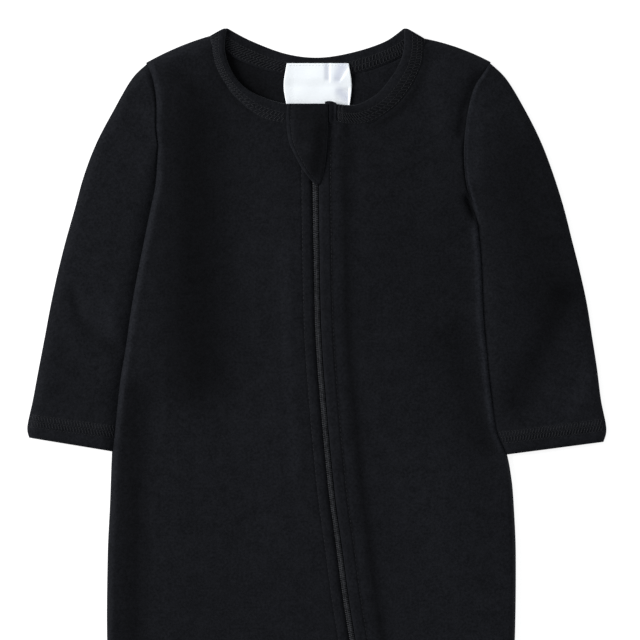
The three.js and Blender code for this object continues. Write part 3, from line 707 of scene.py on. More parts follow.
class Graph:
    """A material's node tree, built a node at a time."""

    def __init__(self, name: str) -> None:
        """Start a material with only its Principled shader.

        Args:
            name: the material's name.
        """
        self.material = bpy.data.materials.new(name)
        self.material.use_nodes = True
        self.tree = self.material.node_tree
        self.shader = self.tree.nodes["Principled BSDF"]

    def add(self, kind: str, inputs: dict | None = None, **settings: object) -> bpy.types.Node:
        """Add a node.

        Args:
            kind: the node's type, without its ShaderNode prefix.
            inputs: values or sockets for its inputs, by name or number.
            settings: its other settings.

        Returns:
            The new node.
        """
        node = self.tree.nodes.new(f"ShaderNode{kind}")
        for key, value in settings.items():
            setattr(node, key, value)
        for key, value in (inputs or {}).items():
            self.set(node, key, value)
        return node

    def set(self, node: bpy.types.Node, key: str | int, value: object) -> None:
        """Set or link one input of a node.

        Args:
            node: the node.
            key: the input's name or number.
            value: a value, or the socket that feeds it.
        """
        if isinstance(value, bpy.types.NodeSocket):
            self.tree.links.new(value, node.inputs[key])
        else:
            node.inputs[key].default_value = value

    def surface(self, **inputs: object) -> bpy.types.Material:
        """Set the shader's inputs, written with underscores for spaces.

        Args:
            inputs: values or sockets.

        Returns:
            The finished material.
        """
        for key, value in inputs.items():
            self.set(self.shader, key.replace("_", " "), value)
        return self.material

    def place(
        self, turn: float = 0.0, scale: tuple[float, float, float] = (1, 1, 1)
    ) -> bpy.types.NodeSocket:
        """Give the object's coordinates, turned about Z and scaled.

        Args:
            turn: degrees about Z.
            scale: the factor on each axis.

        Returns:
            The vector socket.
        """
        where = self.add("TexCoord").outputs["Object"]
        mapping = self.add("Mapping", {"Vector": where, "Scale": scale})
        mapping.inputs["Rotation"].default_value = (0, 0, math.radians(turn))
        return mapping.outputs["Vector"]


@dataclass(frozen=True)
class KnitFinish:
    """Near-black cotton knit: matt, with fine wales, a soft nap and a few pale fibres, its colour scaled by
    the painted light and shade stored on each piece.
    """

    name: str
    turn: float = 0.0
    dark: tuple[float, float, float] = (0.0031, 0.0034, 0.0044)
    light: tuple[float, float, float] = (0.0083, 0.0089, 0.0111)
    wale: float = 0.0011
    nap: float = 0.6

    def build(self) -> bpy.types.Material:
        """Make the material.

        Returns:
            The knit's material.
        """
        g = Graph(self.name)
        place = g.place(self.turn)
        cloud = g.add("TexNoise", {"Vector": place, "Scale": 120.0, "Detail": 6.0, "Roughness": 0.65})
        fleck = g.add("TexNoise", {"Vector": place, "Scale": 680.0, "Detail": 3.0, "Roughness": 0.75})
        tone = g.add(
            "Math", {0: cloud.outputs["Fac"], 1: 0.45, 2: fleck.outputs["Fac"]}, operation="MULTIPLY_ADD"
        )
        span = g.add("MapRange", {"Value": tone.outputs[0], "From Min": 0.53, "From Max": 0.93})
        colour = g.add("Mix", {"Factor": span.outputs[0]}, data_type="RGBA")
        colour.inputs["A"].default_value = (*self.dark, 1)
        colour.inputs["B"].default_value = (*self.light, 1)
        # Painted light and shade: the colour is scaled by 1 plus the piece's stored share.
        painted_light = g.add("Attribute", attribute_name="nap")
        lift = g.add("Math", {0: painted_light.outputs["Fac"], 1: 1.0}, operation="ADD")
        shaded_colour = g.add("Mix", {"Factor": 1.0, "A": colour.outputs["Result"], "B": lift.outputs[0]},
                       data_type="RGBA", blend_type="MULTIPLY")
        pitch = 1 / self.wale / 2
        wales = g.add("TexWave", {"Vector": place, "Scale": pitch / 10, "Distortion": 0.6},
                      bands_direction="X")
        wales.inputs["Detail Scale"].default_value = 4.0
        loops = g.add("TexWave", {"Vector": place, "Scale": pitch / 8, "Distortion": 0.8},
                      bands_direction="Y")
        knit = g.add("Math", {0: wales.outputs["Fac"], 1: loops.outputs["Fac"]}, operation="MULTIPLY")
        bump = g.add("Bump", {"Strength": 0.35, "Distance": 0.0002, "Height": knit.outputs[0]})
        fuzz = g.add("Bump", {"Strength": self.nap, "Distance": 0.0003, "Height": fleck.outputs["Fac"]})
        g.set(fuzz, "Normal", bump.outputs["Normal"])
        return g.surface(
            Base_Color=shaded_colour.outputs["Result"],
            Roughness=0.88,
            Specular_IOR_Level=0.05,
            Sheen_Weight=0.045,
            Sheen_Roughness=0.4,
            Sheen_Tint=(0.8, 0.85, 0.95, 1),
            Normal=fuzz.outputs["Normal"],
        )


@dataclass(frozen=True)
class ThreadFinish:
    """Spun sewing thread, twisted along its length."""

    name: str
    colour: tuple[float, float, float] = (0.0125, 0.0132, 0.0155)
    roughness: float = 0.55

    def build(self) -> bpy.types.Material:
        """Make the material.

        Returns:
            The thread's material.
        """
        g = Graph(self.name)
        place = g.place(35)
        twist = g.add("TexWave", {"Vector": place, "Scale": 900.0, "Distortion": 1.0})
        bump = g.add("Bump", {"Strength": 0.4, "Distance": 0.0001, "Height": twist.outputs["Fac"]})
        return g.surface(
            Base_Color=(*self.colour, 1),
            Roughness=self.roughness,
            Specular_IOR_Level=0.12,
            Normal=bump.outputs["Normal"],
        )


@dataclass(frozen=True)
class TapeFinish:
    """Woven zip tape, with fine diagonal twill."""

    name: str = "zip tape twill"
    colour: tuple[float, float, float] = (0.0036, 0.0038, 0.0044)

    def build(self) -> bpy.types.Material:
        """Make the material.

        Returns:
            The tape's material.
        """
        g = Graph(self.name)
        twill = g.add("TexWave", {"Vector": g.place(), "Scale": 320.0}, bands_direction="DIAGONAL")
        bump = g.add("Bump", {"Strength": 0.5, "Distance": 0.0002, "Height": twill.outputs["Fac"]})
        return g.surface(
            Base_Color=(*self.colour, 1),
            Roughness=0.8,
            Specular_IOR_Level=0.05,
            Normal=bump.outputs["Normal"],
        )


@dataclass(frozen=True)
class NylonFinish:
    """Dark grey nylon of the zip's coil."""

    name: str = "zip coil nylon"
    dark: tuple[float, float, float] = (0.0056, 0.006, 0.0074)
    light: tuple[float, float, float] = (0.0275, 0.029, 0.033)

    def build(self) -> bpy.types.Material:
        """Make the material.

        Returns:
            The coil's material.
        """
        g = Graph(self.name)
        wear = g.add("TexNoise", {"Vector": g.place(), "Scale": 620.0, "Detail": 3.0, "Roughness": 0.7})
        spots = g.add("MapRange", {"Value": wear.outputs["Fac"], "From Min": 0.36, "From Max": 0.66})
        colour = g.add("Mix", {"Factor": spots.outputs[0]}, data_type="RGBA")
        colour.inputs["A"].default_value = (*self.dark, 1)
        colour.inputs["B"].default_value = (*self.light, 1)
        return g.surface(Base_Color=colour.outputs["Result"], Roughness=0.42, Specular_IOR_Level=0.2)


@dataclass(frozen=True)
class PaintedZincFinish:
    """Black paint on zinc, rubbed a little at its edges."""

    name: str = "zip metal paint"

    def build(self) -> bpy.types.Material:
        """Make the material.

        Returns:
            The paint's material.
        """
        g = Graph(self.name)
        rub = g.add("TexNoise", {"Vector": g.place(), "Scale": 420.0, "Detail": 5.0})
        rough = g.add("MapRange", {"Value": rub.outputs["Fac"], "To Min": 0.3, "To Max": 0.5})
        bump = g.add("Bump", {"Strength": 0.15, "Distance": 0.0001, "Height": rub.outputs["Fac"]})
        return g.surface(
            Base_Color=(0.012, 0.012, 0.013, 1), Roughness=rough.outputs[0], Metallic=0.4,
            Normal=bump.outputs["Normal"],
        )


@dataclass(frozen=True)
class SatinFinish:
    """White satin ribbon of the label, left bare, with painted shade in greyer, bluer zones where it is
    creased.
    """

    name: str = "label satin"
    colour: tuple[float, float, float] = (0.817, 0.852, 0.881)
    crease_shade: tuple[float, float, float] = (0.58, 0.61, 0.71)

    def build(self) -> bpy.types.Material:
        """Make the material.

        Returns:
            The satin's material.
        """
        g = Graph(self.name)
        floats = g.add("TexNoise", {"Vector": g.place(scale=(1, 9, 1)), "Scale": 520.0, "Detail": 3.0})
        shade = g.add("MapRange", {"Value": floats.outputs["Fac"], "To Min": 0.92, "To Max": 1.0})
        # Painted shade: mix towards the crease colour where the label's creases are shaded.
        zones = g.add("Attribute", attribute_name="nap")
        satin = g.add("Mix", {"Factor": zones.outputs["Fac"]}, data_type="RGBA")
        satin.inputs["A"].default_value = (*self.colour, 1)
        satin.inputs["B"].default_value = (*self.crease_shade, 1)
        colour = g.add("Mix", {"Factor": 1.0, "A": satin.outputs["Result"], "B": shade.outputs[0]},
                       data_type="RGBA", blend_type="MULTIPLY")
        bump = g.add("Bump", {"Strength": 0.25, "Distance": 0.0001, "Height": floats.outputs["Fac"]})
        return g.surface(
            Base_Color=colour.outputs["Result"], Roughness=0.38, Specular_IOR_Level=0.5, Sheen_Weight=0.1,
            Normal=bump.outputs["Normal"],
        )


@dataclass(frozen=True)
class Finishes:
    """Every material of the suit."""

    body: bpy.types.Material
    sleeve_left: bpy.types.Material
    sleeve_right: bpy.types.Material
    band: bpy.types.Material
    guard: bpy.types.Material
    thread: bpy.types.Material
    dull_thread: bpy.types.Material
    white_thread: bpy.types.Material
    tape: bpy.types.Material
    nylon: bpy.types.Material
    metal: bpy.types.Material
    satin: bpy.types.Material

    @classmethod
    def make(cls) -> "Finishes":
        """Build every material."""
        return cls(
            body=KnitFinish("jersey body").build(),
            sleeve_left=KnitFinish("jersey left sleeve", turn=-24).build(),
            sleeve_right=KnitFinish("jersey right sleeve", turn=24).build(),
            band=KnitFinish("jersey band", turn=90).build(),
            guard=KnitFinish("jersey guard", turn=12).build(),
            thread=ThreadFinish("thread black").build(),
            dull_thread=ThreadFinish("thread dull black", colour=(0.0092, 0.0098, 0.0118)).build(),
            white_thread=ThreadFinish("thread white", colour=(0.8, 0.83, 0.86)).build(),
            tape=TapeFinish().build(),
            nylon=NylonFinish().build(),
            metal=PaintedZincFinish().build(),
            satin=SatinFinish().build(),
        )


@dataclass
class Panels:
    """The back and the two fronts, in millimetres."""

    yoke_rows: int = 36
    skirt_rows: int = 104
    leg_rows: int = 42
    yoke_end: float = 268.0
    from_side: tuple[float, ...] = (0, 0.4, 1, 1.9, 3, 4.4, 6.2, 8.6, 12)
    to_seam: tuple[float, ...] = (9, 6.2, 4.2, 2.8, 1.7, 0.9, 0.35, 0)
    to_zip: tuple[float, ...] = (12, 9, 7.6, 6.9, 6.3, 5.9, 5.4, 4.6, 3.4, 2, 1.1, 0.5, 0)

    def _lay(
        self, start: np.ndarray, end: np.ndarray, across: np.ndarray, bow: tuple[Half, float] | None = None
    ) -> np.ndarray:
        """Lay a row of points on the front.

        Args:
            start: the row's first (x, y).
            end: its last.
            across: distances from the first.
            bow: the half whose shoulder bow the row follows, and how far.

        Returns:
            The row's (x, y, z) points.
        """
        share = (across / np.hypot(*(end - start)))[:, None]
        plan = start + (end - start) * share
        if bow:
            plan[:, 1] += shoulder_bow(bow[0], share[:, 0]) * bow[1]
        return np.column_stack([plan, front_top(plan[:, 0], plan[:, 1])])

    def _ends(self, half: Half) -> list[tuple[np.ndarray, np.ndarray, float]]:
        """List each torso row's ends, on the side edge and on the neck or zip, and its bow."""
        free, seam = BAND_FREE[half].points, BAND_SEAM[half].points
        inward = (free - seam) / np.linalg.norm(free - seam, axis=1)[:, None]
        neck = Spline(*(seam + 0.4 * inward), NECK_CORNER[half])
        ends = []
        for t in np.linspace(0, 1, self.yoke_rows + 1):
            y = SHOULDER[half][0][1] + (UNDERARM_Y[half] - SHOULDER[half][0][1]) * t
            ends.append((np.array([float(side_x(half, y)), y]), neck.at(t)[0], (1 - t) ** 2))
        corner = NECK_CORNER[half][1]
        for t in np.linspace(0, 1, self.skirt_rows + 1)[1:]:
            y = UNDERARM_Y[half] + (CROTCH[1] - UNDERARM_Y[half]) * t
            middle = corner + (CROTCH[1] - corner) * t
            zip_edge = float(ZIP.at(middle)) + half.sign * PLACKET_HALF
            ends.append((np.array([float(side_x(half, y)), y]), np.array([zip_edge, middle]), 0.0))
        return ends

    def _left_columns(self, width: float, share: float) -> np.ndarray:
        """Place a left row's columns, for the leg and then for the strip beside the zip."""
        leg = steps(self.from_side, 16, self.to_seam, width * share)
        strip = steps(self.to_seam[::-1], 3, self.to_zip, width * (1 - share))
        return np.concatenate([leg, width * share + strip[1:]])

    def _leg(self, first: Callable, last: Callable, columns: Callable) -> list[np.ndarray]:
        """Lay the rows of a leg between two edges.

        Args:
            first: x of the edge nearer -X, by level.
            last: x of the other edge.
            columns: gives the distances across for a width.

        Returns:
            Rows of points from the crotch to the ankle.
        """
        rows = []
        for y in np.linspace(CROTCH[1], ANKLE_Y - 0.2, self.leg_rows + 1):
            a, b = np.array([float(first(y)), y]), np.array([float(last(y)), y])
            rows.append(self._lay(a, b, columns(b[0] - a[0])))
        return rows

    def front_left(self) -> Shell:
        """Lay out the left front, with its leg and the strip over the crotch."""
        side, zip_edge = float(side_x(Half.LEFT, CROTCH[1])), float(ZIP.at(CROTCH[1])) - PLACKET_HALF
        share = (CROTCH[0] - side) / (zip_edge - side)
        torso = []
        for side_end, middle_end, bow in self._ends(Half.LEFT):
            width = float(np.hypot(*(middle_end - side_end)))
            across = self._left_columns(width, share)
            torso.append(self._lay(side_end, middle_end, across, (Half.LEFT, bow)))
        leg = self._leg(
            lambda y: side_x(Half.LEFT, y),
            lambda y: inseam_x(Half.LEFT, y),
            lambda width: steps(self.from_side, 16, self.to_seam, width),
        )
        strip = self._leg(
            lambda y: inseam_x(Half.RIGHT, y),
            lambda y: ZIP.at(y) - PLACKET_HALF,
            lambda width: steps(self.to_seam[::-1], 3, self.to_zip, width),
        )
        return Shell(FRONT_CLOTH).add(torso).add(leg).add(strip)

    def front_right(self) -> Shell:
        """Lay out the right front and the outer part of its leg."""

        def columns(width: float) -> np.ndarray:
            """Place the columns from the zip to the side."""
            return steps(self.to_zip[::-1], 16, self.from_side[::-1], width)

        torso = []
        for side_end, middle_end, bow in self._ends(Half.RIGHT):
            width = float(np.hypot(*(middle_end - side_end)))
            torso.append(self._lay(middle_end, side_end, columns(width), (Half.RIGHT, bow)))
        leg = self._leg(lambda y: ZIP.at(y) + PLACKET_HALF, lambda y: side_x(Half.RIGHT, y), columns)
        return Shell(FRONT_CLOTH).add(torso).add(leg)

    def _back_top(self) -> np.ndarray:
        """Give the back's upper edge: a shoulder, the neck seam and the other shoulder."""
        share = np.linspace(0, 1, 13)
        shoulders = {}
        for half in Half:
            tip, neck = (np.array(p) for p in SHOULDER[half])
            line = tip + (neck - tip) * share[:, None]
            line[:, 1] += shoulder_bow(half, share)
            shoulders[half] = line
        neck_line = BACK_SEAM.at(np.linspace(0, 1, 49))[1:-1]
        return np.vstack([shoulders[Half.LEFT], neck_line, shoulders[Half.RIGHT][::-1]])

    def back(self) -> Shell:
        """Lay out the back, flat on the surface, from the neck seam to both ankles."""
        edge = self._back_top()
        share = (edge[:, 0] - edge[0, 0]) / (edge[-1, 0] - edge[0, 0])
        middle = len(share) // 2

        def level(x: np.ndarray, y: np.ndarray) -> np.ndarray:
            """Put a row of places on the back's upper side."""
            return np.column_stack([x, y, np.full(len(x), BACK_CLOTH)])

        yoke = []
        for t in np.linspace(0, 1, 13):
            left, right = (
                float(side_x(half, tip[1] + (self.yoke_end - tip[1]) * t))
                for half, (tip, _) in SHOULDER.items()
            )
            yoke.append(level(left + (right - left) * share, edge[:, 1] + (self.yoke_end - edge[:, 1]) * t))
        torso = []
        for y in np.linspace(self.yoke_end, CROTCH[1], 90):
            left, right = float(side_x(Half.LEFT, y)), float(side_x(Half.RIGHT, y))
            blend = float(ease(60, CROTCH[1], y))
            centre = (left + (right - left) * share[middle]) * (1 - blend) + CROTCH[0] * blend
            first = left + (centre - left) * share[: middle + 1] / share[middle]
            rest = (share[middle + 1 :] - share[middle]) / (1 - share[middle])
            x = np.concatenate([first, centre + (right - centre) * rest])
            torso.append(level(x, np.full(len(x), y)))
        shell = Shell(BACK_CLOTH).add(yoke).add(torso)
        legs = {
            Half.LEFT: share[: middle + 1] / share[middle],
            Half.RIGHT: (share[middle:] - share[middle]) / (1 - share[middle]),
        }
        for half, across in legs.items():
            rows = []
            for y in np.linspace(CROTCH[1], ANKLE_Y - 0.2, 30):
                low, high = sorted((float(side_x(half, y)), float(inseam_x(half, y))))
                rows.append(level(low + (high - low) * across, np.full(len(across), y)))
            shell.add(rows)
        return shell

    def dress(self, finishes: Finishes) -> list[bpy.types.Object]:
        """Build the panels and dress them.

        Args:
            finishes: the suit's materials.

        Returns:
            The pieces.
        """
        pieces = []
        plan = (
            ("back", self.back(), (0.256, 0.58), []),
            ("front_left", self.front_left(), (0.19, 0.58), ["cloth_back"]),
            ("front_right", self.front_right(), (0.15, 0.58), ["cloth_back"]),
        )
        for node, shell, flat, rests_on in plan:
            piece = shell.build(f"cloth_{node}")
            # Paint light and shade into each panel's colour: the back's neck shadow and soft zones, and the
            # fronts' zones with highlights along their sides and shade beside the zip.
            if node == "back":
                paint_light_and_shade(piece, BACK_SHADOW_AND_TONE)
            else:
                paint_light_and_shade(piece, BODY_LIGHT_AND_SHADE, edge_light_and_shade)
            dress(piece, finishes.body, "jersey", node)
            area = min(shell.area(), flat[0] * flat[1])
            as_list(rests_on)
            LOG.info("%s: %.4f square metres of cloth", piece.name, area)
            pieces.append(piece)
        return pieces


@dataclass
class Foot:
    """One foot: a soft top and a flat sole, in millimetres."""

    half: Half
    rows: int = 40
    flat: tuple[float, float] = (0.075, 0.06)

    def centre(self) -> float:
        """X of the foot's middle."""
        return float(side_x(self.half, ANKLE_Y) + inseam_x(self.half, ANKLE_Y)) / 2

    @staticmethod
    def half_width(t: np.ndarray) -> np.ndarray:
        """Half of the foot's width at a share t of the way from ankle to toe."""
        return ANKLE_HALF * np.sqrt(np.maximum(1 - t**3.2, 0)) * (1 + 0.13 * np.sin(math.pi * t))

    def _rows(self, top: Callable) -> list[np.ndarray]:
        """Lay rows from the ankle to the toe under a height function of x, y and width."""
        rows = []
        for turn in np.linspace(0, 1, self.rows + 1):
            t = float(np.sin(turn * math.pi / 2)) * 0.997
            wide = float(self.half_width(np.array(t)))
            y = ANKLE_Y + 0.1 + (TOE_Y - ANKLE_Y) * t
            x = self.centre() + wide * np.sin(np.linspace(-1, 1, 35) * math.pi / 2)
            rows.append(np.column_stack([x, np.full(len(x), y), top(x, np.full(len(x), y), wide)]))
        return rows

    def _top(self, x: np.ndarray, y: np.ndarray, wide: float) -> np.ndarray:
        """Height of the foot's soft top, gathered a little at the toe."""
        off = x - self.centre()
        to_side = rise(wide - np.abs(off))
        gather = (0.2 * np.sin(off * 0.9) + 0.14 * np.sin(off * 1.37 + 1)) * ease(TOE_Y + 24, TOE_Y + 4, y)
        ankle = -0.5 * bell(y, ANKLE_Y, 1.6)
        return SEAM_TOP + to_side * rise(y - TOE_Y, 9) * (LOFT + ripple(x, y) + gather + ankle)

    def dress(self, finishes: Finishes) -> list[bpy.types.Object]:
        """Build the foot's two pieces and dress them.

        Args:
            finishes: the suit's materials.

        Returns:
            The pieces.
        """
        side = self.half.value
        sole = Shell(BACK_CLOTH).add(self._rows(lambda x, y, wide: np.full(len(x), BACK_CLOTH)))
        upper = Shell(FRONT_CLOTH).add(self._rows(self._top))
        pieces = []
        for node, shell, rests_on in (
            (f"foot_sole_{side}", sole, []),
            (f"foot_top_{side}", upper, [f"cloth_foot_sole_{side}"]),
        ):
            piece = shell.build(f"cloth_{node}")
            dress(piece, finishes.body, "jersey", node)
            area = min(shell.area(), self.flat[0] * self.flat[1])
            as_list(rests_on)
            pieces.append(piece)
        LOG.info("foot %s: top and sole", side)
        return pieces


@dataclass
class Sleeve:
    """One sleeve: a flattened tube, open at the armhole and the cuff, in millimetres."""

    half: Half
    stations: int = 96
    over: int = 44
    under: int = 14
    bowed: float = 0.25
    tuck: float = 0.8
    hem_rows: tuple[float, float, float] = (14.8, 11.0, 7.2)
    hem_reach: float = 22.0
    hem_stations: int = 26
    near_armhole: tuple[float, ...] = (0.003, 0.006, 0.009, 0.012, 0.016, 0.022, 0.028, 0.036)

    def _body_x(self, y: np.ndarray) -> np.ndarray:
        """X where the sleeve tucks under the body's side."""
        return side_x(self.half, y) - self.half.sign * self.tuck

    def plan(self, t: np.ndarray, s: np.ndarray) -> np.ndarray:
        """Place points of the sleeve in plan.

        Args:
            t: shares of the way from armhole to cuff.
            s: shares of the way from the outer fold to the body.

        Returns:
            (x, y) rows.
        """
        t, s = np.broadcast_arrays(np.atleast_1d(np.asarray(t, float)), np.asarray(s, float))
        outer = SLEEVE_FOLD[self.half].at(t)
        meets = Spline(*[(0, y) for y in SLEEVE_MEETS[self.half]]).at(t)[:, 1]
        inner = np.column_stack([self._body_x(meets), meets])
        points = outer + (inner - outer) * s[:, None]
        tip, underarm = SLEEVE_FOLD[self.half].points[0], SLEEVE_MEETS[self.half][0]
        level = tip[1] + (underarm - tip[1]) * s
        straight = tip[0] + (self._body_x(underarm) - tip[0]) * s
        points[:, 0] += (self._body_x(level) - straight) * ease(self.bowed, 0, t)
        return points

    def _from_cuff(self, t: np.ndarray) -> np.ndarray:
        """Distance from the cuff, along the sleeve, at shares t."""
        path = SLEEVE_FOLD[self.half].at(np.linspace(0, 1, 400))
        run = np.concatenate([[0], np.cumsum(np.linalg.norm(np.diff(path, axis=0), axis=1))])
        return run[-1] - np.interp(t, np.linspace(0, 1, 400), run)

    def _share_from_cuff(self, distance: float) -> float:
        """Share t that lies a distance from the cuff."""
        shares = np.linspace(1, 0.5, 300)
        return float(np.interp(distance, self._from_cuff(shares), shares))

    def top(self, t: np.ndarray, s: np.ndarray) -> np.ndarray:
        """Height of the sleeve's upper cloth.

        Args:
            t: shares from armhole to cuff.
            s: shares from the outer fold to the body.

        Returns:
            Heights in millimetres.
        """
        t, s = np.broadcast_arrays(np.atleast_1d(np.asarray(t, float)), np.asarray(s, float))
        points = self.plan(t, s)
        width = np.linalg.norm(self.plan(t, np.ones_like(s)) - self.plan(t, np.zeros_like(s)), axis=1)
        at_body = 1 - ease(0.02, 0.2, t)
        inner = rise((1 - s) * width, 13) * (1 - at_body) + at_body * rise((1 - s) * width, 7)
        folds = sum(fold.at(points[:, 0], points[:, 1]) for fold in SLEEVE_FOLDS)
        folds = folds + ripple(points[:, 0] * 1.1 + 40, points[:, 1])
        cuff = self._from_cuff(t)
        hem = 0.35 * (1 - ease(self.hem_rows[0] - 0.5, self.hem_rows[0] + 1.2, cuff))
        hem = hem - 1.3 * (1 - rise(cuff, 3.5)) - 0.3 * bell(cuff, self.hem_rows[0], 0.9)
        if self.half is Half.LEFT:
            seam = -1.5 * (1 - ease(0, 0.035, t))
        else:
            seam = 0.35 - 1.5 * (1 - ease(0, 0.012, t)) - 0.35 * ease(0.012, 0.035, t)
        return SEAM_TOP + rise(s * width) * inner * (LOFT - 0.2 + folds + hem + seam)

    def _ring(self, t: float, inside: bool) -> np.ndarray:
        """Give one section's points, over the top and back under.

        Args:
            t: the section's share of the way to the cuff.
            inside: whether these are the points of the cloth's inner side.

        Returns:
            (x, y, z) rows.
        """
        width = float(np.linalg.norm(self.plan(t, 1.0) - self.plan(t, 0.0)))
        inset = SLEEVE_CLOTH / width if inside else 0.0
        turn = (1 - np.cos(np.linspace(0, 1, self.over) * math.pi)) / 2
        f = 0.35 * np.linspace(0, 1, self.over) + 0.65 * turn
        s = inset + (1 - 2 * inset) * f
        plan = self.plan(np.full(len(s), t), s)
        if t >= 1:
            plan[:, 1] += CUFF_LIFT[self.half]
        top = self.top(np.full(len(s), t), s)
        least = SLEEVE_CLOTH + 0.3
        over = np.column_stack([plan, np.maximum(top - SLEEVE_CLOTH, least) if inside else top])
        s = 1 - inset - (1 - 2 * inset) * (1 - np.cos(np.linspace(0, 1, self.under) * math.pi)) / 2
        plan = self.plan(np.full(len(s), t), s)
        lift = 0.8 * (1 - np.clip(np.minimum(s, 1 - s) * width / 2, 0, 1)) ** 2
        under = np.column_stack([plan, np.full(len(s), SLEEVE_CLOTH) if inside else lift])
        return np.vstack([over, under])

    def _shares(self) -> np.ndarray:
        """Places of the sections, closer together by the armhole and the cuff."""
        plain = np.linspace(0, 1, self.stations)
        near = self._share_from_cuff(self.hem_reach)
        hem = np.linspace(near, 1, self.hem_stations)
        return np.unique(np.concatenate([plain[plain < near - 0.005], hem, self.near_armhole]))

    def build(self) -> bpy.types.Object:
        """Join the sections into a tube wall with open ends.

        Returns:
            The sleeve's object.
        """
        shares = self._shares()
        outer = [self._ring(t, False) for t in shares]
        inner = [self._ring(t, True) for t in shares]
        count, last = len(outer[0]), len(shares) - 1
        points = np.vstack(outer + inner)
        layer = len(shares) * count
        faces = []
        for i in range(count):
            j = (i + 1) % count
            for k in range(last):
                a, b = k * count, (k + 1) * count
                faces.append([a + i, a + j, b + j, b + i])
                faces.append([layer + a + i, layer + b + i, layer + b + j, layer + a + j])
            faces.append([i, layer + i, layer + j, j])
            end = last * count
            faces.append([end + i, end + j, layer + end + j, layer + end + i])
        if self.half is Half.LEFT:
            faces = [face[::-1] for face in faces]
        return new_object(f"cloth_sleeve_{self.half.value}", points, faces)

    def stitch_rows(self) -> list[np.ndarray]:
        """Give the hem's rows of stitches as (x, y, z) paths."""
        rows = []
        s = np.linspace(0.03, 0.985, 160)
        for distance in self.hem_rows:
            t = np.full(len(s), self._share_from_cuff(distance))
            rows.append(np.column_stack([self.plan(t, s), self.top(t, s)]))
        return rows

    def dress(self, finishes: Finishes) -> bpy.types.Object:
        """Build the sleeve and dress it.

        Args:
            finishes: the suit's materials.

        Returns:
            The sleeve's object.
        """
        piece = self.build()
        left = self.half is Half.LEFT
        # Paint light and shade into the sleeve's colour, with a painted highlight along the right armhole
        # seam.
        paint_light_and_shade(piece, SLEEVE_LIGHT_AND_SHADE, *([] if left else [armhole_highlight]))
        finish = finishes.sleeve_left if left else finishes.sleeve_right
        dress(piece, finish, "jersey", f"sleeve_{self.half.value}")
        area = sum(polygon.area for polygon in piece.data.polygons) / 2
        LOG.info("%s: %.4f square metres all round", piece.name, area)
        return piece


